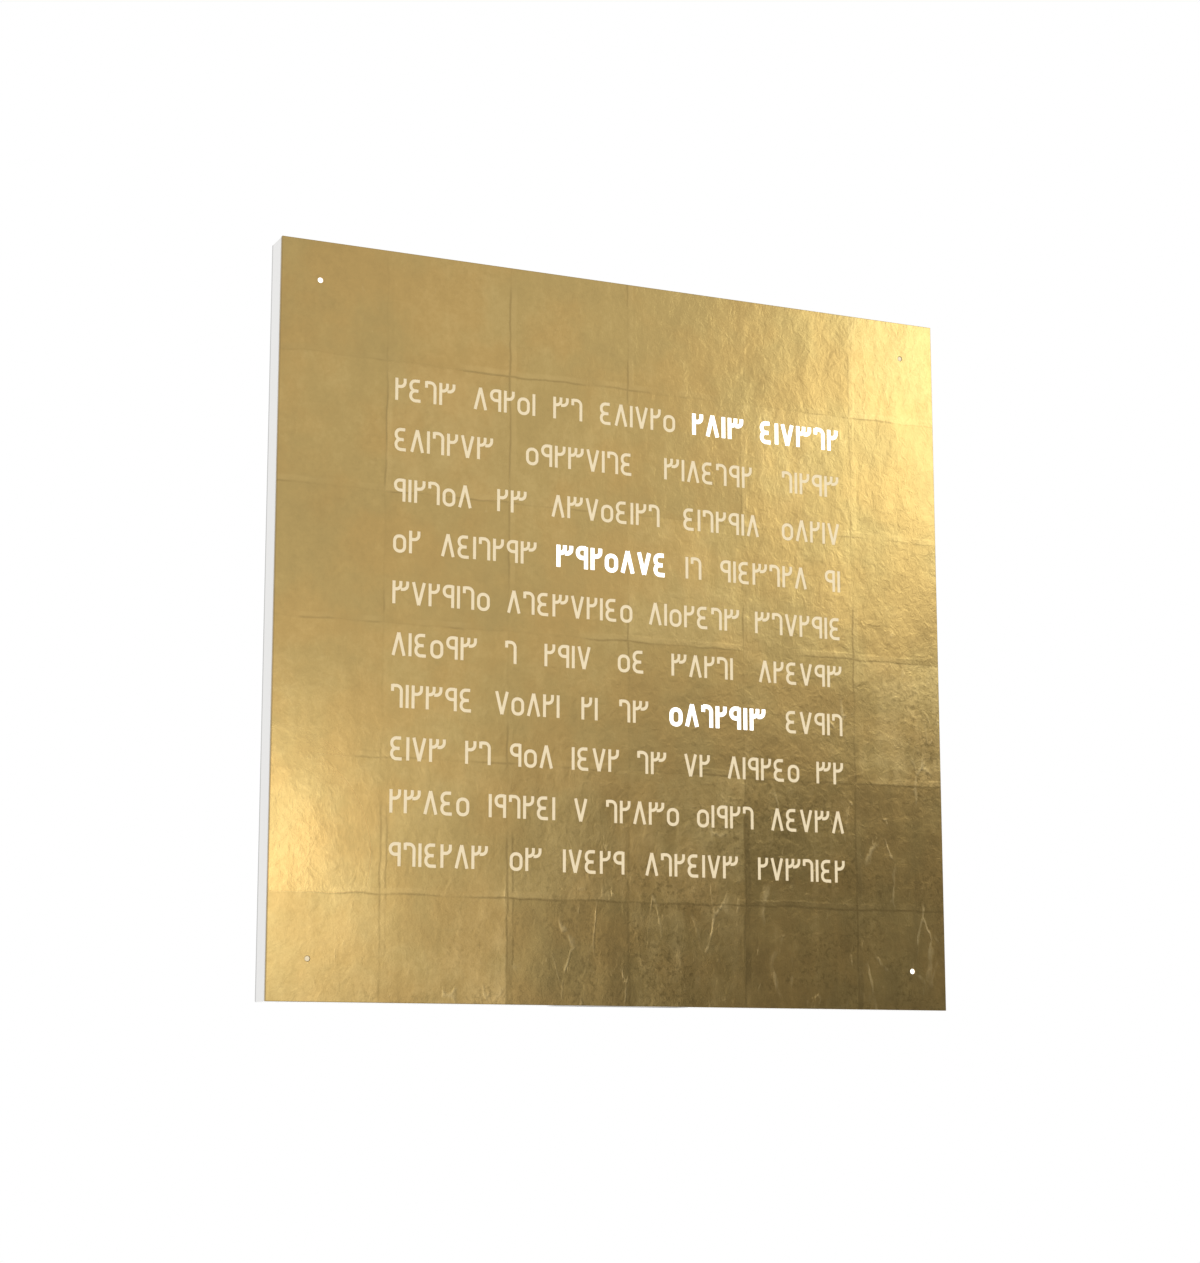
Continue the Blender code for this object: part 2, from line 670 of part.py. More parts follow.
def make_dot_lens(name, side, up):
    """An opal pin with a flange behind the plate."""
    radius = DOT_RADIUS - LENS_FIT
    flange_front = -SEAT_GAP
    flange_back = flange_front - LENS_FLANGE_THICKNESS
    profile = [
        (0, flange_back),
        (LENS_FLANGE_RADIUS, flange_back),
        (LENS_FLANGE_RADIUS, flange_front),
        (radius, flange_front),
        (radius, PLATE_THICKNESS - LENS_CROWN),
        (radius / 2, PLATE_THICKNESS - LENS_CROWN / 4),
        (0, PLATE_THICKNESS),
    ]
    at = (side * DOT_OFFSET, -PLATE_BACK, up * DOT_OFFSET)
    return piece(name, turned_mesh(name, profile, LENS_SEGMENTS), at, TO_FACE)


def make_locating_stud(name, side):
    """A stud that stands on the plate's back."""
    profile = [
        (0, SEAT_GAP),
        (STUD_RADIUS, SEAT_GAP),
        (STUD_RADIUS, STUD_LENGTH - STUD_TIP_BREAK),
        (STUD_RADIUS - STUD_TIP_BREAK, STUD_LENGTH),
        (0, STUD_LENGTH),
    ]
    at = (side * SIDE_MARGIN_MIDDLE, -PLATE_BACK, STUD_HEIGHT)
    return piece(name, turned_mesh(name, profile, BUTTON_SEGMENTS), at, TO_WALL)


def make_cover_magnet(name, side):
    """A bar magnet in the body's front, flush with it."""
    place = (span(side * SIDE_MARGIN_MIDDLE, MAGNET_WIDTH), span(0, MAGNET_LENGTH))
    return block(name, *place, (BODY_FRONT - MAGNET_THICKNESS, BODY_FRONT))


def make_rear_cover():
    """The sheet that closes the back, with an opening for each hanger."""
    side = COVER_HALF * 2
    outline = rounded_outline(side, side, COVER_CORNER_RADIUS)
    cover = plate("rear_cover", outline, (0, 0), 0, COVER_THICKNESS)
    for way in SIDES.values():
        width = HANGER_WIDTH + SEAT_GAP * 2
        height = HANGER_HEIGHT + SEAT_GAP * 2
        opening = rounded_outline(width, height, HANGER_CORNER_RADIUS + SEAT_GAP)
        at = (way * HANGER_FROM_MIDDLE, HANGER_CENTRE_HEIGHT)
        cut(cover, plate("cutter", opening, at, -CUT_OVERRUN, COVER_THICKNESS + CUT_OVERRUN))
    for x, z in cover_screw_places().values():
        screw_hole(cover, x, z)
    return cover


def make_hanger_plate(name, side):
    """A steel plate with the keyhole that a wall screw's head goes into."""
    outline = rounded_outline(HANGER_WIDTH, HANGER_HEIGHT, HANGER_CORNER_RADIUS)
    x = side * HANGER_FROM_MIDDLE
    made = plate(name, outline, (x, HANGER_CENTRE_HEIGHT), 0, COVER_THICKNESS)
    keyhole(made, x, HANGER_CENTRE_HEIGHT, -CUT_OVERRUN, COVER_THICKNESS + CUT_OVERRUN)
    for way in SIDES.values():
        screw_hole(made, x + way * HANGER_SCREW_OFFSET, HANGER_CENTRE_HEIGHT)
    return made


def make_matrix_board():
    """The board that carries the LED strips, with its cable header on the back."""
    width, height = BOARD_HALF_WIDTH * 2, BOARD_HALF_HEIGHT * 2
    board = block("matrix_board", span(0, width), span(0, height), (BOARD_BACK, BOARD_FRONT))
    middle = MATRIX_HEADER_FROM_EDGE - BOARD_HALF_HEIGHT
    depth = (BOARD_BACK - MATRIX_HEADER_HEIGHT, BOARD_BACK + BOARD_THICKNESS / 2)
    join_on(board, block("part", span(0, HEADER_LENGTH), span(middle, HEADER_WIDTH), depth))
    for x, z in board_screw_places().values():
        radius = PAN_SHANK_RADIUS + SEAT_GAP
        at = (x, -BOARD_BACK, z)
        reach = BOARD_THICKNESS + CUT_OVERRUN
        cut(board, cylinder("cutter", radius, -CUT_OVERRUN, reach, at, TO_FACE, SCREW_SEGMENTS))
    return board


def make_board_screw(name, x, z):
    """A pan head screw that holds the matrix board on its land."""
    head_foot = -SEAT_GAP
    head_top = head_foot - PAN_HEAD_HEIGHT
    profile = [
        (0, head_top),
        (PAN_HEAD_RADIUS - PAN_CROWN, head_top),
        (PAN_HEAD_RADIUS, head_top + PAN_CROWN),
        (PAN_HEAD_RADIUS, head_foot),
        (PAN_SHANK_RADIUS, head_foot),
        (PAN_SHANK_RADIUS, PAN_SHANK_LENGTH - PAN_SHANK_RADIUS),
        (0, PAN_SHANK_LENGTH),
    ]
    return piece(name, turned_mesh(name, profile, SCREW_SEGMENTS), (x, -BOARD_BACK, z), TO_FACE)


def make_control_board():
    """The board in the lower pocket, with its cable header at the top edge."""
    size = (span(0, CONTROL_BOARD_WIDTH), (CONTROL_BOTTOM, CONTROL_TOP))
    board = block("control_board", *size, (CONTROL_BACK, CONTROL_FRONT))
    depth = (CONTROL_BACK - CONTROL_HEADER_HEIGHT, CONTROL_BACK + BOARD_THICKNESS / 2)
    height = (CONTROL_TOP - HEADER_WIDTH, CONTROL_TOP)
    join_on(board, block("part", span(0, HEADER_LENGTH), height, depth))
    return board


def ribbon_path():
    """Points (depth, height) of the cable, from one header to the other in an easy S."""
    start_depth = BOARD_BACK - MATRIX_HEADER_HEIGHT / 2
    end_depth = CONTROL_BACK - CONTROL_HEADER_HEIGHT / 2
    start = MATRIX_HEADER_FROM_EDGE - BOARD_HALF_HEIGHT - HEADER_WIDTH / 2 - SEAT_GAP
    end = CONTROL_TOP + SEAT_GAP
    bend_start = end + RIBBON_BEND_LENGTH
    points = [(start_depth, start)]
    for step in range(RIBBON_STEPS + 1):
        share = step / RIBBON_STEPS
        depth = start_depth + (end_depth - start_depth) * eased(share)
        points.append((depth, bend_start + (end - bend_start) * share))
    return points


def make_ribbon_cable():
    """A flat cable swept along its path."""
    points = [Vector(point) for point in ribbon_path()]
    form = bmesh.new()
    rings = []
    for index, point in enumerate(points):
        before = points[max(index - 1, 0)]
        after = points[min(index + 1, len(points) - 1)]
        along = (after - before).normalized()
        if index in (0, len(points) - 1):
            along = Vector((0, -1))
        across = Vector((along.y, -along.x)) * RIBBON_THICKNESS / 2
        near, far = point - across, point + across
        left, right = span(0, RIBBON_WIDTH)
        corners = ((left, near), (right, near), (right, far), (left, far))
        rings.append([form.verts.new((x, -spot.x, spot.y)) for x, spot in corners])
    for near, far in zip(rings, rings[1:]):
        wall_between(form, near, far)
    form.faces.new(rings[0])
    form.faces.new(rings[-1])
    return piece("ribbon_cable", mesh_of("ribbon_cable", form, smooth=True))


def make_microcontroller():
    """The chip that runs the clock."""
    place = (span(CHIP_FROM_MIDDLE, CHIP_SIDE), span(CHIP_HEIGHT_MIDDLE, CHIP_SIDE))
    return block("microcontroller", *place, (CHIP_FRONT - CHIP_HEIGHT, CHIP_FRONT))


def make_cell_holder():
    """A round cup for the backup cell."""
    inner = CELL_RADIUS + SEAT_GAP
    outer = inner + HOLDER_WALL
    profile = [(0, 0), (outer, 0), (outer, HOLDER_HEIGHT), (inner, HOLDER_HEIGHT)]
    profile += [(inner, HOLDER_BASE), (0, HOLDER_BASE)]
    at = (CELL_FROM_MIDDLE, -CHIP_FRONT, CHIP_HEIGHT_MIDDLE)
    return piece("cell_holder", turned_mesh("cell_holder", profile, ROUND_SEGMENTS), at, TO_WALL)


def make_backup_cell():
    """A coin cell in its cup."""
    low = HOLDER_BASE + SEAT_GAP
    high = low + CELL_THICKNESS
    slim = CELL_RADIUS - CELL_EDGE_BREAK
    profile = [(0, low), (slim, low), (CELL_RADIUS, low + CELL_EDGE_BREAK)]
    profile += [(CELL_RADIUS, high - CELL_EDGE_BREAK), (slim, high), (0, high)]
    at = (CELL_FROM_MIDDLE, -CHIP_FRONT, CHIP_HEIGHT_MIDDLE)
    return piece("backup_cell", turned_mesh("backup_cell", profile, ROUND_SEGMENTS), at, TO_WALL)


def panel_form(name, outline, low, high):
    """An outline across and in depth, extruded upwards from one height to another."""
    form = bmesh.new()
    rim = [form.verts.new((x, y, low)) for x, y in outline]
    pushed = bmesh.ops.extrude_face_region(form, geom=[form.faces.new(rim)])
    moved = [v for v in pushed["geom"] if isinstance(v, bmesh.types.BMVert)]
    bmesh.ops.translate(form, vec=(0, 0, high - low), verts=moved)
    return piece(name, mesh_of(name, form, smooth=True), (0, -KEY_AXIS_DEPTH, 0))


def bore_up(target, radius, x, low, high):
    """A round hole along Z on the line of the buttons."""
    at = (x, -KEY_AXIS_DEPTH, 0)
    cut(target, cylinder("cutter", radius, low, high, at, UPRIGHT, BUTTON_SEGMENTS))


def make_control_panel():
    """The insert in the underside."""
    outline = rounded_outline(PANEL_LENGTH, PANEL_WIDTH, PANEL_END_RADIUS - SEAT_GAP)
    panel = panel_form("control_panel", outline, PANEL_BOTTOM, PANEL_TOP)
    through = (PANEL_BOTTOM - CUT_OVERRUN, PANEL_TOP + CUT_OVERRUN)
    for x in BUTTON_PLACES.values():
        bore_up(panel, BUTTON_RADIUS + SEAT_GAP, x, *through)
    bore_up(panel, SENSOR_WINDOW_RADIUS, SENSOR_FROM_MIDDLE, *through)
    bore_up(panel, JACK_BORE_RADIUS, JACK_FROM_MIDDLE, *through)
    return panel


def make_button(name, x):
    """A push button, its origin on its axis at the panel's outer face."""
    face = -BUTTON_PROUD
    flange_low = PANEL_THICKNESS + SEAT_GAP
    flange_high = flange_low + BUTTON_FLANGE_THICKNESS
    stem_top = SWITCH_BOTTOM + SWITCH_REACH - PANEL_BOTTOM
    flange = BUTTON_RADIUS + SEAT_GAP + BUTTON_FLANGE
    profile = [
        (0, face),
        (BUTTON_RADIUS - BUTTON_EDGE_BREAK, face),
        (BUTTON_RADIUS, face + BUTTON_EDGE_BREAK),
        (BUTTON_RADIUS, flange_low),
        (flange, flange_low),
        (flange, flange_high),
        (BUTTON_STEM_RADIUS, flange_high),
        (BUTTON_STEM_RADIUS, stem_top),
        (0, stem_top),
    ]
    at = (x, -KEY_AXIS_DEPTH, PANEL_BOTTOM)
    return piece(name, turned_mesh(name, profile, BUTTON_SEGMENTS), at)


def make_switch(name, x):
    """A push switch on the control board; the button's stem works in its bore."""
    depth = (KEY_AXIS_DEPTH - SWITCH_OVER_AXIS, CHIP_FRONT)
    height = (SWITCH_BOTTOM, SWITCH_BOTTOM + SWITCH_LENGTH)
    switch = block(name, span(x, SWITCH_WIDTH), height, depth)
    bore = (SWITCH_BOTTOM - CUT_OVERRUN, SWITCH_BOTTOM + SWITCH_BORE_DEPTH)
    bore_up(switch, BUTTON_STEM_RADIUS + SEAT_GAP, x, *bore)
    return switch


def make_light_sensor():
    """A sensor on the control board, with a hood down to its window in the panel."""
    depth = (KEY_AXIS_DEPTH - SENSOR_BASE_SIDE / 2, CHIP_FRONT)
    height = (SWITCH_BOTTOM, SWITCH_BOTTOM + SENSOR_BASE_SIDE)
    sensor = block("light_sensor", span(SENSOR_FROM_MIDDLE, SENSOR_BASE_SIDE), height, depth)
    at = (SENSOR_FROM_MIDDLE, -KEY_AXIS_DEPTH, 0)
    hood_top = SWITCH_BOTTOM + SENSOR_BASE_SIDE / 2
    hood = cylinder("part", SENSOR_RADIUS, PANEL_SEAT, hood_top, at, UPRIGHT, BUTTON_SEGMENTS)
    join_on(sensor, hood)
    bore_up(sensor, SENSOR_WINDOW_RADIUS, SENSOR_FROM_MIDDLE, PANEL_SEAT - CUT_OVERRUN, SWITCH_BOTTOM)
    return sensor


def make_dc_jack():
    """The socket for the adapter's plug, with its centre pin."""
    depth = (KEY_AXIS_DEPTH - JACK_BEHIND_AXIS, CHIP_FRONT)
    height = (PANEL_SEAT, PANEL_SEAT + JACK_LENGTH)
    jack = block("dc_jack", span(JACK_FROM_MIDDLE, JACK_WIDTH), height, depth)
    floor = PANEL_SEAT + JACK_BORE_DEPTH
    bore_up(jack, JACK_BORE_RADIUS, JACK_FROM_MIDDLE, PANEL_SEAT - CUT_OVERRUN, floor)
    at = (JACK_FROM_MIDDLE, -KEY_AXIS_DEPTH, 0)
    pin = (floor - JACK_PIN_LENGTH, floor + CUT_OVERRUN)
    join_on(jack, cylinder("part", JACK_PIN_RADIUS, *pin, at, UPRIGHT, SCREW_SEGMENTS))
    return jack


def make_corner_led_board(name, side, up):
    """A small board with one LED that faces its dot."""
    form = bmesh.new()
    square = span(0, CORNER_BOARD_SIDE)
    foot = CORNER_FRONT - STRIP_FRONT
    rings = [ring(form, square, square, CORNER_BACK), ring(form, square, square, CORNER_FRONT)]
    for level in led_levels(form, 0, 0):
        for corner in level:
            corner.co.y -= foot
        rings.append(level)
    form.faces.new(rings[0])
    for near, far in zip(rings, rings[1:]):
        wall_between(form, near, far)
    form.faces.new(rings[-1])
    return piece(name, mesh_of(name, form), (side * DOT_OFFSET, 0, up * DOT_OFFSET))


def corner_lead_points(side, up):
    """The lead's line: flat on the matrix board, along its groove, then down to the corner board."""
    start = Vector((BOARD_HALF_WIDTH - LEAD_START_INSET, BOARD_HALF_HEIGHT - LEAD_START_INSET))
    end = Vector((DOT_OFFSET - LEAD_END_INSET, DOT_OFFSET - LEAD_END_INSET))
    high = BOARD_BACK - SEAT_GAP - LEAD_RADIUS
    low = CORNER_BACK - SEAT_GAP - LEAD_RADIUS
    pocket_edge = DOT_OFFSET - CORNER_POCKET_SIDE / 2 + LEAD_RADIUS
    run = end - start
    bend_start = (pocket_edge - start.x) / run.x
    bend_end = 1 - LEAD_END_FLAT / run.length
    shares = [0, bend_start / 2]
    shares += [bend_start + (bend_end - bend_start) * step / LEAD_STEPS for step in range(LEAD_STEPS + 1)]
    shares.append(1)
    points = []
    for share in shares:
        bent = min(max((share - bend_start) / (bend_end - bend_start), 0), 1)
        flat = start.lerp(end, share)
        points.append((side * flat.x, -(high + (low - high) * eased(bent)), up * flat.y))
    return points


def make_corner_lead(name, side, up):
    """A lead from the matrix board to a corner LED board."""
    line = bpy.data.curves.new(name, "CURVE")
    line.dimensions = "3D"
    line.bevel_depth = LEAD_RADIUS
    line.bevel_resolution = 2
    line.use_fill_caps = True
    spline = line.splines.new("POLY")
    points = corner_lead_points(side, up)
    spline.points.add(len(points) - 1)
    for point, place in zip(spline.points, points):
        point.co = (*place, 1)
    return piece(name, line)


def build():
    """Makes every piece of the clock and hangs it on what carries it."""
    clear_scene()
    gilding = finish("gold_leaf", (0.72, 0.55, 0.26), 0.35, 1)
    lacquer = finish("white_lacquer", (0.90, 0.89, 0.86), 0.12, 0)
    opal = finish("opal_plastic", (0.93, 0.86, 0.74), 0.45, 0)
    white_moulding = finish("white_moulding", (0.85, 0.85, 0.83), 0.55, 0)
    board_green = finish("circuit_board", (0.05, 0.20, 0.10), 0.45, 0)
    strip_white = finish("led_strip", (0.88, 0.88, 0.84), 0.4, 0)
    zinc = finish("zinc_steel", (0.62, 0.63, 0.64), 0.35, 1)
    nickel = finish("nickel", (0.70, 0.69, 0.66), 0.25, 1)
    cover_grey = finish("cover_paint", (0.23, 0.23, 0.24), 0.5, 0)
    black_plastic = finish("black_plastic", (0.03, 0.03, 0.03), 0.45, 0)
    button_plastic = finish("button_plastic", (0.80, 0.80, 0.78), 0.35, 0)
    cable_grey = finish("cable_grey", (0.45, 0.46, 0.48), 0.5, 0)
    lead_red = finish("lead_sheath", (0.45, 0.06, 0.05), 0.5, 0)

    body = piece("clock_body", None)
    cover = piece("front_cover", None, (0, -PLATE_BACK, 0))
    bpy.context.view_layer.update()

    def carried(made, material, carrier=body):
        dress(made, material, carrier)
        made.matrix_parent_inverse = carrier.matrix_world.inverted()
        return made

    carried(make_housing(), lacquer)
    carried(make_diffuser_sheet(), opal)
    carried(make_light_grid(), white_moulding)
    for row in range(ROWS):
        carried(make_led_strip(row), strip_white)
    carried(make_matrix_board(), board_green)
    for name, (x, z) in board_screw_places().items():
        carried(make_board_screw(f"matrix_board_screw_{name}", x, z), zinc)
    carried(make_ribbon_cable(), cable_grey)

    carried(make_control_board(), board_green)
    carried(make_microcontroller(), black_plastic)
    carried(make_cell_holder(), black_plastic)
    carried(make_backup_cell(), nickel)
    carried(make_light_sensor(), black_plastic)
    carried(make_dc_jack(), black_plastic)
    carried(make_control_panel(), black_plastic)
    for name, x in BUTTON_PLACES.items():
        carried(make_switch(f"{name}_switch", x), black_plastic)
        carried(make_button(f"{name}_button", x), button_plastic)

    for name, (side, up) in CORNERS.items():
        carried(make_corner_led_board(f"corner_led_board_{name}", side, up), strip_white)
        carried(make_corner_lead(f"corner_lead_{name}", side, up), lead_red)
        carried(make_dot_lens(f"dot_lens_{name}", side, up), opal, cover)
    for name, side in SIDES.items():
        carried(make_cover_magnet(f"cover_magnet_{name}", side), nickel)
        carried(make_locating_stud(f"locating_stud_{name}", side), zinc, cover)
        carried(make_hanger_plate(f"hanger_plate_{name}", side), zinc)
    carried(make_front_plate(), gilding, cover)

    carried(make_rear_cover(), cover_grey)
    for name, (x, z) in cover_screw_places().items():
        carried(make_countersunk_screw(f"rear_cover_screw_{name}", x, z), zinc)
    for name, (x, z) in hanger_screw_places().items():
        carried(make_countersunk_screw(f"hanger_screw_{name}", x, z), zinc)


build()
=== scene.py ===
import math

import bmesh
import bpy
from bpy.props import FloatProperty, FloatVectorProperty, PointerProperty
from mathutils import Matrix, Vector
from mathutils.geometry import delaunay_2d_cdt


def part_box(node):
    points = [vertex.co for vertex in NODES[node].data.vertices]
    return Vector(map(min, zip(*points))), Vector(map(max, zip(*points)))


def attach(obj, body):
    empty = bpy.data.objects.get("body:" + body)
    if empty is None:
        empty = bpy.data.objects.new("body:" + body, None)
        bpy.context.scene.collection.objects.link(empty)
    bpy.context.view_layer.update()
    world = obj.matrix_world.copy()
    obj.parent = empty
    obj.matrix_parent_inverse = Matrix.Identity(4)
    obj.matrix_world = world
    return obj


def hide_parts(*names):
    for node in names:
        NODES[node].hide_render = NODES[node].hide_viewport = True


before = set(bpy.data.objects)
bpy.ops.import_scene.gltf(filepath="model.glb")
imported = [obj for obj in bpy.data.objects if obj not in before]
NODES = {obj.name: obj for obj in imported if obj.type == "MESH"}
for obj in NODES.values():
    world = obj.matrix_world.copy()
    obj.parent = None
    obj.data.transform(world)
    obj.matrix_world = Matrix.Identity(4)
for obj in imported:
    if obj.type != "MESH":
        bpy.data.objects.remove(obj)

bl_info = {
    "name": "Gilded Wall Clock",
    "version": (1, 0, 0),
    "blender": (4, 5, 0),
    "location": "3D View > Sidebar > Wall Clock",
    "description": "Dresses a flat wall clock: numerals cut through a gilded plate, a lacquered body and its fittings",
    "category": "Object",
}

# The frame
PLATE_LOW, PLATE_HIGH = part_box("front_plate")
HOUSING_LOW, HOUSING_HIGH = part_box("housing")
PANEL_LOW, PANEL_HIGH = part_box("control_panel")
ROW_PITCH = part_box("led_strip_01")[0].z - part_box("led_strip_02")[0].z
LED_PITCH = 0.0280
CORNER_NAMES = ("top_left", "top_right", "bottom_left", "bottom_right")
LIT_CORNER_NAMES = ("top_left", "bottom_right")
KEY_NAMES = ("mode", "minus", "plus")
SCREW_NAMES = (
    *(f"rear_cover_screw_{corner}" for corner in CORNER_NAMES),
    *(f"hanger_screw_{side}_{end}" for side in ("left", "right") for end in ("inner", "outer")),
)

# Each numeral as strokes of (across, up) points, in shares of the numeral's height
NUMERALS = {
    "0": [],
    "1": [[(0, 1), (0, 0)]],
    "2": [[(0, 1), (0, 0)], [(0, 0.62), (0.38, 0.62), (0.38, 1)]],
    "3": [[(0, 1), (0, 0)], [(0, 0.64), (0.31, 0.64), (0.31, 1)], [(0.31, 0.64), (0.62, 0.64), (0.62, 1)]],
    "4": [
        [(0.42, 0.945), (0, 0.945), (0, 0.5), (0.36, 0.5)],
        [(0.36, 0.5), (0, 0.5), (0, 0.055), (0.46, 0.055)],
    ],
    "5": [
        [(0.24, 0.72), (0, 0.72), (0, 0.055), (0.24, 0.055)],
        [(0.22, 0.72), (0.46, 0.72), (0.46, 0.055), (0.22, 0.055)],
    ],
    "6": [[(0, 0.945), (0.4, 0.945), (0.4, 0)], [(0, 1), (0, 0.7)]],
    "7": [[(0, 1), (0.25, 0)], [(0.5, 1), (0.25, 0)]],
    "8": [[(0, 0), (0.25, 1)], [(0.5, 0), (0.25, 1)]],
    "9": [[(0.4, 0.945), (0, 0.945), (0, 0.5), (0.4, 0.5)], [(0.4, 1), (0.4, 0)]],
}
BEND_SHARE = 0.21
BEND_STEPS = 6
NOUGHT_HEIGHT_SHARE = 0.42
NOUGHT_REACH_SHARE = 0.8

# Rows from the top; a star stands before each lit group
ROWS = (
    "2463 89251 36 481725 *2813 *417362",
    "4816273 59237164 3184692 61293",
    "912658 23 83754126 4162918 58217",
    "52 8416293 *3925874 16 9143628 91",
    "3729165 864372145 8152463 3672914",
    "814593 6 2917 54 38261 824793",
    "612394 75821 21 63 *5862913 47916",
    "4173 26 958 1472 63 72 819245 32",
    "23845 196241 7 62835 51926 84738",
    "9614283 53 17429 8624173 2736142",
)

# The plate and its dots
DOT_HOLE_RADIUS = 0.00175
RIM_BREAK = 0.0002
TOUCHING = 1e-6
FLANGE_STEP = 0.0012
FLANGE_THICKNESS = 0.0008
# The dot's crown as (share of the pin's radius, depth below the top)
LENS_CROWN = ((1, 0.0004), (0.93, 0.00022), (0.7, 0.0001), (0.35, 0.00002), (0, 0))

# Screws: the cross as one arm's (along, across) corners, then its (depth, share of the size) at foot and mouth
SCREW_SHANK_SHARE = 0.48
CROSS_ARM = ((0.00155, -0.00034), (0.00155, 0.00034), (0.00034, 0.00034))
CROSS_LEVELS = ((0.0013, 0.45), (-0.0002, 1.08))

# Buttons: the dish as (share of the cap's radius, depth above the lowest point)
BUTTON_DISH = (
    (0, 0.0002), (0.35, 0.00017), (0.62, 0.00008), (0.76, 0.00001), (0.82, 0), (0.93, 0.00008), (1, 0.0004),
)
BUTTON_STEM_RADIUS = 0.0015
BUTTON_FLANGE_THICKNESS = 0.001
BUTTON_SEAT_GAP = 0.0003
# The marks beside the buttons, as bars of (aside, deep, wide, high)
MARK_LINE = 0.00036
MARKS = {
    "mode": [(0, deep, 0.0017, MARK_LINE) for deep in (-0.00062, 0, 0.00062)],
    "minus": [(0, 0, 0.0018, MARK_LINE)],
    "plus": [(0, 0, 0.0018, MARK_LINE), (0, 0, MARK_LINE, 0.0018)],
}
MARK_INSET = 0.0016
# Each bar's (height, share of the size), from inside the panel outwards
MARK_LEVELS = ((0.00005, 1), (-0.00008, 1), (-0.00012, 0.94))

# The noises of the gold leaf, as scale, detail, roughness, distortion and stretch
LEAF_NOISES = {
    "streaks": (120.0, 4.0, 0.6, 0.0, (1.0, 1.0, 0.2)),
    "bands": (95.0, 3.0, 0.55, 0.0, (1.0, 1.0, 0.12)),
    "crumple": (170.0, 6.0, 0.62, 0.5, (1.0, 1.0, 0.85)),
    "speckle": (380.0, 4.0, 0.7),
    "swell": (22.0, 2.0, 0.5, 0.0, (1.0, 1.0, 0.75)),
    "cloud": (17.0, 4.0, 0.6),
    "mottle": (70.0, 5.0, 0.7),
}
# What each noise adds to the leaf's tone, at the upper left and towards the lower right
TONE_SHARES = {
    "streaks": (0.4, 0.4),
    "bands": (0.3, 1.7),
    "crumple": (0.8, 0.8),
    "cloud": (1.0, 1.0),
    "speckle": (0.6, 1.0),
    "mottle": (0.4, 2.4),
}

# Colours that more than one finish uses
TIN = (0.66, 0.66, 0.67)
NICKEL = (0.66, 0.63, 0.58)
WHITE_MASK = (0.8, 0.8, 0.76)

# What stands in front of the clock: place, size, then a card's colour or a lamp's power and colour
DARK_CARD = ((0.635, -0.62, -0.410), (0.856, 0.880), (0.285, 0.285, 0.275))
LAMPS = {
    "right_lamp": ((0.602, -0.50, 0.364), (0.330, 0.401), 1.08, (0.92, 1.0, 0.97)),
    "left_lamp": ((-0.111, -0.50, -0.118), (0.149, 0.234), 0.13, (1.0, 1.0, 1.0)),
    "glint_lamp": ((-0.100, -0.50, -0.102), (0.092, 0.050), 0.085, (0.97, 1.0, 0.97)),
}


# Meshes


def mesh_piece(name, form, smooth=False):
    """A piece of the scene made from a bmesh, with its faces pointing out."""
    bmesh.ops.recalc_face_normals(form, faces=form.faces)
    mesh = bpy.data.meshes.new(name)
    form.to_mesh(mesh)
    form.free()
    if smooth:
        mesh.shade_smooth()
        mesh.set_sharp_from_angle(angle=math.radians(30))
    made = bpy.data.objects.new(name, mesh)
    bpy.context.scene.collection.objects.link(made)
    return made


def bent_line(points, radius):
    """The points of a line with its corners rounded."""
    points = [Vector(p) for p in points]
    line = [points[0]]
    for before, corner, after in zip(points, points[1:], points[2:]):
        back = (before - corner).normalized()
        ahead = (after - corner).normalized()
        half = back.angle(ahead) / 2
        reach = radius / math.tan(half)
        centre = corner + (back + ahead).normalized() * radius / math.sin(half)
        start = corner + back * reach - centre
        sweep = start.angle_signed(corner + ahead * reach - centre)
        for step in range(BEND_STEPS + 1):
            line.append(centre + Matrix.Rotation(-sweep * step / BEND_STEPS, 2) @ start)
    line.append(points[-1])
    return line


def stroke_outline(line, width):
    """The closed outline of a stroke of even width with square ends."""
    left, right = [], []
    for index, point in enumerate(line):
        before = line[max(index - 1, 0)]
        after = line[min(index + 1, len(line) - 1)]
        along = (after - before).normalized()
        across = Vector((-along.y, along.x)) * width / 2
        left.append(point + across)
        right.append(point - across)
    return right + left[::-1]


def disc_outline(centre, radius, count):
    """The points of a circle."""
    turn = 2 * math.pi / count
    return [centre + radius * Vector((math.cos(turn * n), math.sin(turn * n))) for n in range(count)]


def numeral_width(numeral):
    """How far a numeral's middle lines reach across, as a share of its height."""
    return max((p[0] for stroke in NUMERALS[numeral] for p in stroke), default=0)


def group_width(group, look):
    """The width of one group of numerals."""
    stroke = look.lit_stroke if group.startswith("*") else look.stroke
    numerals = group.strip("*")
    drawn = sum(numeral_width(n) * look.height + stroke for n in numerals)
    return drawn + (len(numerals) - 1) * look.spacing


def numeral_outlines(numeral, corner, stroke, height):
    """The outlines of one numeral whose lower left corner is given."""
    origin = corner + Vector((stroke / 2, 0))
    if not NUMERALS[numeral]:
        middle = origin + Vector((0, height * NOUGHT_HEIGHT_SHARE))
        return [[middle + Vector(p) * stroke * NOUGHT_REACH_SHARE for p in ((1, 0), (0, 1), (-1, 0), (0, -1))]]
    outlines = []
    for points in NUMERALS[numeral]:
        line = bent_line([origin + Vector(p) * height for p in points], BEND_SHARE * height)
        outlines.append(stroke_outline(line, stroke))
    return outlines


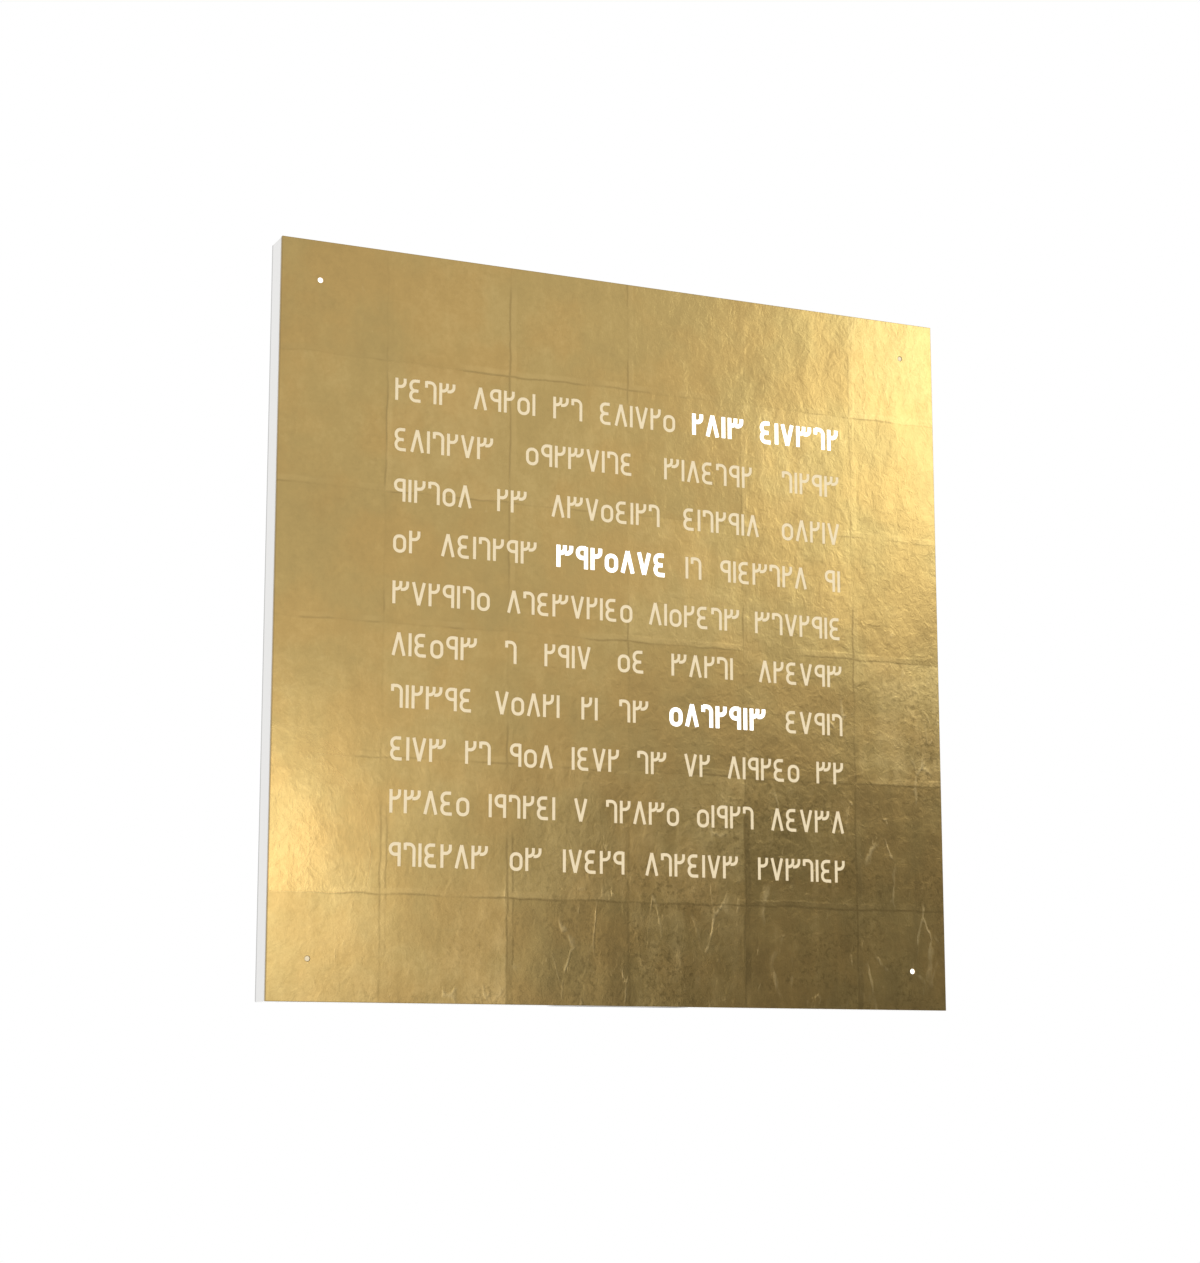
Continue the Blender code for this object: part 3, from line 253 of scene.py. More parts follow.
def face_outlines(look):
    """The outlines of all numerals, unlit and lit, and the middle and width of each lit group."""
    unlit, lit, glows = [], [], []
    for row, text in enumerate(ROWS):
        groups = text.split()
        spare = look.block_width - sum(group_width(g, look) for g in groups)
        gap = spare / (len(groups) - 1)
        up = look.first_line - row * look.line_pitch
        across = -look.block_width / 2
        for group in groups:
            stroke, kept = look.stroke, unlit
            if group.startswith("*"):
                stroke, kept = look.lit_stroke, lit
                width = group_width(group, look)
                glows.append((Vector((across + width / 2, up + look.height / 2)), width))
            for numeral in group.strip("*"):
                kept += numeral_outlines(numeral, Vector((across, up)), stroke, look.height)
                across += numeral_width(numeral) * look.height + stroke + look.spacing
            across += gap - look.spacing
    return unlit, lit, glows


def region_piece(name, corners, faces, front, back):
    """A flat piece of even thickness made from some faces of a flat pattern."""
    form = bmesh.new()
    verts = {}
    for face in faces:
        for index in face:
            if index not in verts:
                verts[index] = form.verts.new((corners[index].x, front, corners[index].y))
        form.faces.new([verts[index] for index in face])
    pushed = bmesh.ops.extrude_face_region(form, geom=form.faces[:])
    moved = [v for v in pushed["geom"] if isinstance(v, bmesh.types.BMVert)]
    bmesh.ops.translate(form, vec=(0, back - front, 0), verts=moved)
    return mesh_piece(name, form)


def add_loft(form, rings):
    """Adds a closed shape that runs through rings of points."""
    loops = [[form.verts.new(point) for point in ring] for ring in rings]
    for low, high in zip(loops, loops[1:]):
        for n in range(len(low)):
            m = (n + 1) % len(low)
            form.faces.new((low[n], low[m], high[m], high[n]))
    form.faces.new(loops[0][::-1])
    form.faces.new(loops[-1])


def carve(target, cutter):
    """Cuts the shape of one piece out of another."""
    cut = target.modifiers.new("carve", "BOOLEAN")
    cut.object = cutter
    shape = bpy.data.meshes.new_from_object(target.evaluated_get(bpy.context.evaluated_depsgraph_get()))
    target.modifiers.clear()
    target.data = shape
    bpy.data.objects.remove(cutter)


def middle_of(node):
    """The middle of a node's box."""
    low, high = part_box(node)
    return (low + high) / 2


def turned_piece(name, profile, count):
    """A round piece turned about +Z from (radius, height) points that start and end on the axis."""
    form = bmesh.new()
    points = [form.verts.new((radius, 0, height)) for radius, height in profile]
    edges = [form.edges.new(pair) for pair in zip(points, points[1:])]
    turn = {"cent": (0, 0, 0), "axis": (0, 0, 1), "angle": 2 * math.pi, "steps": count}
    bmesh.ops.spin(form, geom=points + edges, use_merge=True, **turn)
    bmesh.ops.remove_doubles(form, verts=form.verts, dist=1e-7)
    return mesh_piece(name, form, smooth=True)


def lay_along_y(piece, node, quarter_turns):
    """Lays a turned piece along Y, from the middle of the back of a node's box."""
    place = middle_of(node)
    place.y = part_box(node)[1].y
    turn = Matrix.Rotation(math.radians(90 * quarter_turns), 4, "X")
    piece.data.transform(Matrix.Translation(place) @ turn)


# Nodes


class Value:
    """A number that a node puts out; arithmetic on it adds nodes to the same tree."""

    def __init__(self, bench, socket):
        self.bench = bench
        self.socket = socket

    def __add__(self, other):
        return self.bench.math("ADD", self, other)

    def __radd__(self, other):
        return self.bench.math("ADD", other, self)

    def __sub__(self, other):
        return self.bench.math("SUBTRACT", self, other)

    def __rsub__(self, other):
        return self.bench.math("SUBTRACT", other, self)

    def __mul__(self, other):
        return self.bench.math("MULTIPLY", self, other)

    def __truediv__(self, other):
        return self.bench.math("DIVIDE", self, other)

    def __abs__(self):
        return self.bench.math("ABSOLUTE", self)

    def part(self):
        """What is left of the number above the whole one below it."""
        return self.bench.math("FRACT", self)


class Bench:
    """Adds nodes to one node tree and joins them; what is fed may come from a node or be plain."""

    def __init__(self, tree):
        self.tree = tree

    def feed(self, socket, given):
        if isinstance(given, Value):
            given = given.socket
        if isinstance(given, bpy.types.NodeSocket):
            self.tree.links.new(given, socket)
        else:
            socket.default_value = given

    def add(self, kind, inputs=None, **settings):
        """A new node with its inputs fed, by name or by number."""
        made = self.tree.nodes.new(kind)
        for name, setting in settings.items():
            setattr(made, name, setting)
        for key, given in (inputs or {}).items():
            self.feed(made.inputs[key], given)
        return made

    def math(self, operation, first, second=0.0, clamp=False):
        made = self.add("ShaderNodeMath", {0: first, 1: second}, operation=operation, use_clamp=clamp)
        return Value(self, made.outputs[0])

    def most(self, first, second):
        return self.math("MAXIMUM", first, second)

    def vector(self, operation, first, second):
        """Arithmetic on vectors and colours; to scale one takes a number."""
        inputs = {0: first, 3 if operation == "SCALE" else 1: second}
        return self.add("ShaderNodeVectorMath", inputs, operation=operation).outputs["Vector"]

    def between(self, value, low, high, to_low=0.0, to_high=1.0):
        """A smooth ramp of a value from one pair of ends to another."""
        inputs = {"Value": value, "From Min": low, "From Max": high, "To Min": to_low, "To Max": to_high}
        made = self.add("ShaderNodeMapRange", inputs, interpolation_type="SMOOTHSTEP")
        return Value(self, made.outputs["Result"])

    def mix(self, share, first, second):
        return self.add("ShaderNodeMix", {0: share, 6: first, 7: second}, data_type="RGBA").outputs[2]

    def split(self, vector):
        return [Value(self, socket) for socket in self.add("ShaderNodeSeparateXYZ", {0: vector}).outputs]

    def join(self, x, y, z):
        return self.add("ShaderNodeCombineXYZ", {0: x, 1: y, 2: z}).outputs[0]


class PlacedBench(Bench):
    """A bench whose tree has a place, in metres on the clock."""

    def noise(self, scale, detail=2.0, roughness=0.5, distortion=0.0, stretch=None):
        """Noise about one half; a stretch below one draws it out along that axis."""
        place = self.place if stretch is None else self.vector("MULTIPLY", self.place, stretch)
        inputs = {"Scale": scale, "Detail": detail, "Roughness": roughness, "Distortion": distortion}
        return Value(self, self.add("ShaderNodeTexNoise", {"Vector": place, **inputs}).outputs["Fac"])

    def strayed_place(self, reach, scale, detail):
        """The place, moved aside by up to half a reach."""
        made = self.add("ShaderNodeTexNoise", {"Vector": self.place, "Scale": scale, "Detail": detail})
        aside = self.vector("SUBTRACT", made.outputs["Color"], (0.5, 0.5, 0.5))
        return self.vector("ADD", self.place, self.vector("SCALE", aside, reach))


class Effect(PlacedBench):
    """A new node group that takes a place and some numbers."""

    def __init__(self, name, **numbers):
        super().__init__(bpy.data.node_groups.new(name, "ShaderNodeTree"))
        self.socket("Place", "INPUT", "NodeSocketVector")
        for number, given in numbers.items():
            self.socket(label(number), "INPUT").default_value = given
        outputs = self.add("NodeGroupInput").outputs
        self.place = outputs["Place"]
        self.numbers = [Value(self, outputs[label(number)]) for number in numbers]

    def socket(self, name, way, kind="NodeSocketFloat"):
        return self.tree.interface.new_socket(name=name, in_out=way, socket_type=kind)

    def give(self, **results):
        """Puts out the results, and gives the finished group."""
        for name in results:
            self.socket(label(name), "OUTPUT")
        self.add("NodeGroupOutput", {label(name): result for name, result in results.items()})
        return self.tree


class Surface(PlacedBench):
    """A new material with its Principled shader."""

    def __init__(self, name, colour, roughness, metallic=0.0):
        self.material = bpy.data.materials.new(name)
        self.material.use_nodes = True
        self.material.diffuse_color = (*colour, 1)
        super().__init__(self.material.node_tree)
        self.place = self.add("ShaderNodeTexCoord").outputs["Object"]
        self.finish(base_color=(*colour, 1), roughness=roughness, metallic=metallic)

    def effect(self, group, place=None, **numbers):
        """Places a node group with this material's own numbers, and gives what it puts out."""
        inputs = {label(name): given for name, given in numbers.items()}
        made = self.add("ShaderNodeGroup", {"Place": place or self.place, **inputs}, node_tree=group)
        return {socket.name: Value(self, socket) for socket in made.outputs}

    def relief(self, height, strength, distance, **more):
        """The normal of a surface with this height."""
        inputs = {"Height": height, "Strength": strength, "Distance": distance, **more}
        return self.add("ShaderNodeBump", inputs).outputs["Normal"]

    def finish(self, **values):
        """Feeds inputs of the shader, named in small letters, and gives the material."""
        inputs = self.tree.nodes["Principled BSDF"].inputs
        for name, given in values.items():
            self.feed(inputs[name.replace("_", " ").title()], given)
        return self.material


def label(name):
    """The label of a socket that code names in small letters."""
    return name.replace("_", " ").capitalize()


def shared(build):
    """Makes a node group once, when a material first asks for it."""

    def find():
        name = label(build.__name__)
        return bpy.data.node_groups.get(name) or build(name)

    return find


@shared
def leaf_squares(name):
    """Squares of leaf with wandering seams: two tones for each leaf, the seams, and the laps beside them."""
    made = Effect(name, side=0.08, wander=0.001, seam=0.001, lap=0.004)
    side, wander, seam, lap = made.numbers
    x, _, z = made.split(made.strayed_place(wander, 45.0, 5.0))
    cells, seams, laps = [], [], []
    for axis in (x, z):
        count = axis / side
        cells.append(made.math("FLOOR", count))
        inside = count.part() * side
        near = made.math("MINIMUM", inside, side - inside)
        seams.append(made.between(near, 0.0, seam, 1.0, 0.0))
        laps.append(made.between(inside, lap * 0.65, lap, 1.0, 0.0))
    pick = made.add("ShaderNodeTexWhiteNoise", {"Vector": made.join(*cells, 11.2)}, noise_dimensions="3D")
    tones = made.add("ShaderNodeSeparateColor", {0: pick.outputs["Color"]}).outputs
    return made.give(tone=tones[0], second_tone=tones[1], seam=made.most(*seams), lap=made.most(*laps))


@shared
def creases(name):
    """Thin branching lines that come and go, as in crumpled foil."""
    made = Effect(name, scale=40.0, width=0.03, amount=0.5, bend=0.01)
    scale, width, amount, bend = made.numbers
    inputs = {"Vector": made.strayed_place(bend, scale * 1.7, 4.0), "Scale": scale}
    cells = made.add("ShaderNodeTexVoronoi", inputs, feature="DISTANCE_TO_EDGE")
    lines = made.between(cells.outputs["Distance"], 0.0, width, 1.0, 0.0)
    limit = 0.78 - amount * 0.5
    shown = made.between(made.noise(scale * 0.8, 3.0), limit, limit + 0.14)
    pieces = made.between(made.noise(scale * 2.3, 2.0), 0.38, 0.52)
    return made.give(lines=lines * (shown * pieces))


@shared
def grain(name):
    """Fine even grain for moulded, painted and pressed surfaces."""
    made = Effect(name, scale=900.0, cloud=30.0)
    scale, cloud = made.numbers
    return made.give(height=made.noise(scale, 3.0, 0.6), tone=made.noise(cloud, 4.0, 0.6))


@shared
def brushing(name):
    """Long fine scratches along X for rolled or brushed sheet."""
    made = Effect(name, scale=1400.0, length=0.02)
    scale, length = made.numbers
    height = made.noise(scale, 3.0, 0.6, stretch=made.join(length, 1.0, 1.0))
    return made.give(height=height, tone=made.noise(45.0, 3.0, 0.55))


# Finishes


def shade(colour, share=1.0):
    """A lighter or darker version of a colour."""
    return (*(min(c * share, 1) for c in colour), 1)


def grained(name, colour, roughness, scale, depth, tone=0.1):
    """A plain material with fine grain and slightly uneven gloss and colour."""
    made = Surface(name, colour, roughness)
    fine = made.effect(grain(), scale=scale)
    return made.finish(
        base_color=made.mix(fine["Tone"], shade(colour, 1 - tone), shade(colour, 1 + tone)),
        roughness=made.between(fine["Tone"], 0.3, 0.7, roughness * 0.88, min(roughness * 1.12, 1)),
        normal=made.relief(fine["Height"], 0.35, depth),
    )


def brushed(name, colour, roughness):
    """Brushed or rolled metal."""
    made = Surface(name, colour, roughness, 1.0)
    lines = made.effect(brushing())
    return made.finish(
        base_color=made.mix(lines["Tone"], shade(colour, 0.8), shade(colour, 1.1)),
        roughness=made.between(lines["Height"], 0.3, 0.7, roughness * 0.8, roughness * 1.2),
        normal=made.relief(lines["Height"], 0.25, 0.00004),
    )


def gilding(look):
    """Gold leaf laid in squares: each leaf lies and shines a little differently, over a crumpled ground."""
    made = Surface("gilding", look.colour, look.roughness, 1.0)
    x, _, z = made.split(made.place)
    laid = made.vector("SUBTRACT", made.place, (look.first_seam[0], 0, look.first_seam[1]))
    sizes = {"side": look.leaf_side, "wander": look.seam_wander, "seam": look.seam_width, "lap": look.lap_width}
    leaf = made.effect(leaf_squares(), laid, **sizes)
    noises = {name: made.noise(*numbers) for name, numbers in LEAF_NOISES.items()}
    # A mask that rises towards the lower right. There the leaf gets more dark flecks, more tone difference from leaf
    # to leaf, more creases, darker seams, and the painted shadow beside the laps.
    toward_lower_right = made.between(z + x * -0.6, -0.05, -0.21)

    def by_stain(upper_left, lower_right):
        return upper_left if upper_left == lower_right else made.between(toward_lower_right, 0.0, 1.0, upper_left, lower_right)

    upright = made.vector("MULTIPLY", made.place, (1.0, 1.0, 0.45))
    folds = made.effect(creases(), upright, scale=54.0, width=0.06, amount=by_stain(0.16, 0.52), bend=0.009)
    hairs = made.effect(creases(), upright, scale=150.0, width=0.08, amount=by_stain(0.20, 0.34), bend=0.005)
    marks = made.most(folds["Lines"], hairs["Lines"] * 0.7)
    worn = made.between(made.noise(21.0, 3.0), 0.44, 0.62)
    lap = leaf["Lap"] * worn

    tone = (leaf["Tone"] - 0.5) * by_stain(look.leaf_contrast * 0.8, look.leaf_contrast * 2.6)
    for name, shares in TONE_SHARES.items():
        tone = tone + (noises[name] - 0.5) * by_stain(*shares)
    colour = made.mix(made.math("ADD", tone, 1.0, clamp=True), shade(look.dark_colour), shade(look.colour))
    colour = made.mix(made.math("ADD", tone, 0.0, clamp=True), colour, shade(look.pale_colour))
    warmth = made.between(made.noise(26.0, 4.0), 0.36, 0.62)
    colour = made.vector("MULTIPLY", colour, made.mix(warmth, (1.02, 0.99, 0.965, 1), (0.98, 1.005, 1.02, 1)))

    flecks = made.between(made.noise(300.0, 4.0, 0.65), 0.47, 0.64)
    flecks = flecks * made.between(made.noise(30.0, 4.0), 0.44, 0.58)
    shadow = leaf["Lap"] * made.between(made.noise(14.0, 3.0), 0.46, 0.58)
    seam = leaf["Seam"] * made.between(toward_lower_right + worn, 0.0, 1.6, 0.1, 0.82)
    # Painted shade: a dark line along the plate's outer rim
    rim = made.between(made.most(abs(x), abs(z)), PLATE_HIGH.x - 0.0007, PLATE_HIGH.x - 0.0002)
    for share, over in (
        (flecks * by_stain(0.1, 0.62), shade(look.dark_colour, 0.7)),
        # Painted highlight: the creases are drawn in a pale colour, on top of their relief and roughness
        (marks * 0.34, shade(look.crease_colour)),
        (lap * 0.22, shade(look.pale_colour)),
        (shadow * by_stain(0.05, 0.6), shade(look.dark_colour, 0.7)),
        (seam, shade(look.dark_colour, 0.8)),
        (rim * 0.35, shade(look.dark_colour, 0.5)),
    ):
        colour = made.mix(share, colour, over)

    offset = made.vector("SUBTRACT", made.place, (look.burnished_place[0], PLATE_LOW.y, look.burnished_place[1]))
    away = made.add("ShaderNodeVectorMath", {0: offset}, operation="LENGTH").outputs["Value"]
    burnish = made.between(away, look.burnished_reach * 0.3, look.burnished_reach, 1.0, 0.0)
    seam_below = look.first_seam[1] - 2 * look.leaf_side
    burnish = burnish * made.between(z, seam_below - 0.001, seam_below + 0.001)

    calm = made.between(x, -0.15, 0.10, 0.4, 1.0)
    height = (noises["streaks"] * 0.18 + noises["crumple"] + noises["swell"] * 4.0) * calm
    height = height + marks * 0.4 + lap * 0.16
    aside = (leaf["Second tone"] - 0.5) * (look.leaf_lean * 0.6)
    lean = made.join(aside, 0.0, (leaf["Tone"] - 0.5) * look.leaf_lean)
    leaned = made.vector("ADD", made.add("ShaderNodeNewGeometry").outputs["Normal"], lean)
    return made.finish(
        base_color=colour,
        roughness=leaf["Second tone"] * 0.06 + (look.roughness - 0.03) + marks * 0.08 - burnish * 0.13,
        normal=made.relief(height, look.relief, 0.0006, Normal=leaned),
    )


def lacquer(look):
    """High-gloss lacquer outside, with a painted shade line along the rear edge; milled board where the body is cut
    into.
    """
    made = Surface("lacquer", look.lacquer_colour, 0.12)
    x, y, z = made.split(made.place)
    rim = made.between(made.most(abs(x), abs(z)), HOUSING_HIGH.x - 0.0008, HOUSING_HIGH.x - 0.0006)
    coated = made.most(rim, made.between(y, HOUSING_LOW.y + 0.0001, HOUSING_LOW.y + 0.0002, 1.0, 0.0))
    fibre = made.effect(grain(), scale=1600.0, cloud=70.0)
    film = made.effect(grain(), scale=260.0, cloud=12.0)
    board = made.mix(fibre["Height"], shade(look.board_colour, 0.7), shade(look.board_colour, 1.25))
    white = made.mix(film["Tone"], shade(look.lacquer_colour, 0.985), shade(look.lacquer_colour, 1.01))
    # Painted shade: a dark grey line along the rear edge of the sides
    rear = made.between(y, -0.0028, -0.0018)
    white = made.mix(rear * 0.75, white, shade(look.lacquer_colour, 0.35))
    height = film["Height"] * 0.06 + fibre["Height"] * (1.0 - coated) * 0.5
    return made.finish(
        base_color=made.mix(coated, board, white),
        roughness=made.between(coated, 0.0, 1.0, 0.8, 0.13),
        coat_weight=coated * 0.6,
        coat_roughness=0.05,
        normal=made.relief(height, 0.4, 0.0003),
    )


def resin(name, colour, glow):
    """Opal resin in the cut-outs and dots; lit places glow."""
    made = Surface(name, colour, 0.42)
    fine = made.effect(grain(), scale=1300.0, cloud=160.0)
    if glow:
        light = made.mix(fine["Tone"], shade(colour, 0.98), shade(colour))
        made.finish(emission_color=light, emission_strength=glow)
    return made.finish(
        base_color=made.mix(fine["Tone"], shade(colour, 0.93), shade(colour, 1.05)),
        normal=made.relief(fine["Height"], 0.2, 0.00005),
    )


def opal_sheet(glows, height):
    """The opal sheet, which glows softly behind the lit groups."""
    made = Surface("opal_sheet", (0.86, 0.83, 0.76), 0.35)
    x, _, z = made.split(made.place)
    fine = made.effect(grain(), scale=1300.0, cloud=25.0)
    light = 0.0
    for middle, width in glows:
        beyond = made.most(abs(x - middle.x) - width / 2, abs(z - middle.y) - height / 2)
        light = made.most(light, made.between(beyond, 0.001, 0.008, 1.0, 0.0))
    return made.finish(
        base_color=made.mix(fine["Tone"], (0.83, 0.80, 0.73, 1), (0.89, 0.86, 0.79, 1)),
        normal=made.relief(fine["Height"], 0.2, 0.00005),
        emission_color=made.mix(light, (0, 0, 0, 1), (0.5, 0.47, 0.42, 1)),
        emission_strength=1.0,
    )


def led_strip_finish():
    """White strip with a yellow window in each LED and tinned pads between the LEDs."""
    made = Surface("led_strip", WHITE_MASK, 0.4)
    x, _, z = made.split(made.place)
    across = abs(((x / LED_PITCH + 0.5).part() - 0.5) * LED_PITCH)
    up = abs(((z / ROW_PITCH).part() - 0.5) * ROW_PITCH)
    away = made.math("POWER", across * across + up * up, 0.5)
    window = made.between(away, 0.0015, 0.0017, 1.0, 0.0)
    ends = made.between(across, LED_PITCH / 2 - 0.0014, LED_PITCH / 2 - 0.0012)
    pads = ends * made.between(abs(up - 0.0024), 0.0008, 0.0009, 1.0, 0.0)
    fine = made.effect(grain(), scale=1500.0, cloud=90.0)
    colour = made.mix(fine["Tone"], (0.77, 0.77, 0.73, 1), (0.83, 0.83, 0.79, 1))
    colour = made.mix(window, colour, (0.78, 0.60, 0.08, 1))
    return made.finish(
        base_color=made.mix(pads, colour, shade(TIN)),
        metallic=pads,
        roughness=made.between(window, 0.0, 1.0, 0.42, 0.22),
        normal=made.relief(fine["Height"], 0.3, 0.00003),
    )


def circuit_board(look):
    """Green board with fine tracks under the mask and rows of tinned holes."""
    made = Surface("circuit_board", look.solder_mask, 0.35)
    x, _, z = made.split(made.place)
    tracks = 0.0
    for across, stretch in ((z, (0.25, 1.0, 1.0)), (x, (1.0, 1.0, 0.25))):
        line = made.between(abs((across / 0.0018).part() - 0.5), 0.16, 0.2, 1.0, 0.0)
        runs = made.between(made.noise(120.0, 0.0, stretch=stretch), 0.56, 0.57)
        tracks = made.most(tracks, line * runs)
    steps = [(axis / 0.00254).part() - 0.5 for axis in (x, z)]
    holes = made.between(sum(step * step for step in steps), 0.06, 0.08, 1.0, 0.0)
    holes = holes * made.between(made.noise(60.0), 0.62, 0.63)
    fine = made.effect(grain(), scale=900.0, cloud=40.0)
    colour = made.mix(fine["Tone"], shade(look.solder_mask, 0.85), shade(look.solder_mask, 1.15))
    colour = made.mix(tracks, colour, shade(look.solder_mask, 1.9))
    return made.finish(
        base_color=made.mix(holes, colour, shade(TIN)),
        metallic=holes,
        normal=made.relief(fine["Height"] * 0.3 + tracks, 0.4, 0.00004),
    )


def cored(name, colour, roughness, middle, radius, core_colour):
    """Moulded plastic with a metal core round an upright axis."""
    made = Surface(name, colour, roughness)
    x, y, _ = made.split(made.place)
    aside, deep = x - middle.x, y - middle.y
    core = made.math("LESS_THAN", aside * aside + deep * deep, radius * radius)
    fine = made.effect(grain(), scale=1500.0, cloud=120.0)
    plastic = made.mix(fine["Tone"], shade(colour, 0.85), shade(colour, 1.15))
    return made.finish(
        base_color=made.mix(core, plastic, shade(core_colour)),
        metallic=core,
        roughness=made.between(core, 0.0, 1.0, roughness, 0.25),
        normal=made.relief(fine["Height"], 0.3, 0.00008),
    )


def leaded_chip():
    """A black chip with tinned leads round its sides."""
    made = Surface("leaded_chip", (0.03, 0.03, 0.032), 0.5)
    low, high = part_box("microcontroller")
    middle, half = (low + high) / 2, (high.x - low.x) / 2
    x, _, z = made.split(made.place)
    aside, above = abs(x - middle.x), abs(z - middle.z)
    leads = 0.0
    for near, far in ((aside, above), (above, aside)):
        rim = made.math("GREATER_THAN", near, half - 0.0009)
        comb = made.math("LESS_THAN", (far / 0.0008).part(), 0.5)
        inner = made.math("LESS_THAN", far, half - 0.0012)
        leads = made.most(leads, rim * (comb * inner))
    fine = made.effect(grain(), scale=1800.0, cloud=200.0)
    black = made.mix(fine["Tone"], (0.025, 0.025, 0.027, 1), (0.04, 0.04, 0.042, 1))
    return made.finish(
        base_color=made.mix(leads, black, shade(TIN)),
        metallic=leads,
        normal=made.relief(fine["Height"], 0.3, 0.00004),
    )


def dress(name, material):
    """Gives a node of the frame its material."""
    slots = NODES[name].data.materials
    slots.clear()
    slots.append(material)


def dress_all(start, material):
    """Gives a material to every node whose name starts so."""
    for name in NODES:
        if name.startswith(start):
            dress(name, material)


def finish_piece(made, body, material, stands_for=()):
    """A new piece rides on its body, takes its slot and material, and stands for nodes of the frame."""
    made.data.materials.clear()
    made.data.materials.append(material)
    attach(made, body)
    if stands_for:
        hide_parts(*stands_for)
    return made


# Settings


def size(name, description, default, precision=4):
    """A setting that is a length."""
    return FloatProperty(name=name, description=description, default=default, unit="LENGTH", precision=precision)


def spot(name, description, default):
    """A setting that is a place, of two or three lengths."""
    return FloatVectorProperty(
        name=name, description=description, default=default, size=len(default), unit="LENGTH", precision=4
    )


def number(name, description, default, low=0.0, high=1.0):
    """A setting that is a plain number."""
    return FloatProperty(name=name, description=description, default=default, min=low, max=high, precision=3)


def tint(name, description, default):
    """A setting that is a colour."""
    return FloatVectorProperty(name=name, description=description, default=default, subtype="COLOR", min=0, max=1)


class WALLCLOCK_PG_numerals(bpy.types.PropertyGroup):
    """Sizes and colours of the numerals on the face"""

    height: size("Height", "Height of a numeral", 0.0138)
    stroke: size("Stroke", "Stroke of an unlit numeral", 0.0020)
    lit_stroke: size("Lit stroke", "Stroke of a lit numeral", 0.0027)
    spacing: size("Spacing", "Gap between the numerals of a group", 0.0017)
    block_width: size("Block width", "Length of a full row", 0.305)
    first_line: size("First line", "Height of the top row's foot above the middle", 0.1327)
    line_pitch: size("Line pitch", "Distance from row to row", 0.031)
    recess: size("Recess", "How far the resin lies below the face", 0.0001, 5)
    unlit_colour: tint("Unlit resin", "Colour of the resin in unlit numerals", (0.93, 0.77, 0.50))
    lit_colour: tint("Lit resin", "Colour of lit numerals and dots", (1.0, 0.98, 0.94))
    glow: number("Glow", "Strength of the light in lit numerals", 1.0, high=5)


class WALLCLOCK_PG_gilding(bpy.types.PropertyGroup):
    """Sizes and colours of the gold leaf"""

    leaf_side: size("Leaf side", "Side of a leaf as it is laid", 0.0797)
    first_seam: spot("First seams", "Place of one seam across and one seam up", (0.0017, -0.0033))
    seam_width: size("Seam width", "Half width of a seam", 0.0012)
    seam_wander: size("Seam wander", "How far a seam strays", 0.004)
    lap_width: size("Lap width", "How far a leaf overlaps the next", 0.0045)
    leaf_contrast: number("Leaf contrast", "How much the leaves differ in tone", 0.55, high=2)
    leaf_lean: number("Leaf lean", "How far the leaves differ in slope", 0.011, high=0.2)
    burnished_place: spot("Burnished place", "Middle of the glossiest spot, across and up", (-0.228, -0.140))
    burnished_reach: size("Burnished reach", "How far the glossiest spot reaches", 0.075)
    colour: tint("Gold", "Main colour of the leaf", (0.455, 0.314, 0.116))
    dark_colour: tint("Dark gold", "Colour of toned leaf", (0.36, 0.252, 0.096))
    pale_colour: tint("Pale gold", "Colour of fresh leaf", (0.60, 0.43, 0.175))
    # Painted highlight: the pale colour drawn on the creases
    crease_colour: tint("Crease", "Colour of creases", (0.78, 0.62, 0.33))
    roughness: number("Roughness", "Roughness of the leaf", 0.30, low=0.05)
    relief: number("Relief", "Strength of the relief of creases and streaks", 0.55)


class WALLCLOCK_PG_body(bpy.types.PropertyGroup):
    """Colours of the body and its fittings"""

    lacquer_colour: tint("Lacquer", "Colour of the lacquer", (0.88, 0.87, 0.85))
    board_colour: tint("Fibreboard", "Colour of the milled board", (0.36, 0.25, 0.15))
    steel_colour: tint("Zinc", "Colour of zinc-plated steel", (0.52, 0.53, 0.54))
    cover_colour: tint("Rear cover", "Colour of the rear cover's paint", (0.045, 0.045, 0.048))
    plastic_colour: tint("Black plastic", "Colour of the black mouldings", (0.02, 0.02, 0.021))
    button_colour: tint("Buttons", "Colour of the push buttons", (0.55, 0.55, 0.54))
    solder_mask: tint("Solder mask", "Colour of the circuit boards", (0.02, 0.16, 0.07))


class WALLCLOCK_PG_studio(bpy.types.PropertyGroup):
    """The camera, the lamps and the floor"""

    camera_place: spot("Camera place", "Where the camera stands", (-0.665, -1.421, -0.271))
    camera_turn: FloatVectorProperty(
        name="Camera turn",
        description="Camera tilt, roll and heading",
        default=(math.radians(100.02), 0, math.radians(-24.81)),
        subtype="EULER",
    )
    lens: number("Lens", "Focal length in millimetres", 73.03, low=1, high=1000)
    floor_height: size("Floor height", "Height of the floor above the clock's middle", -1.1)
    floor_radius: size("Floor radius", "Radius of the floor", 2.4)
    level: number("Level", "Strength of the even light", 0.85, high=5)


# Pieces


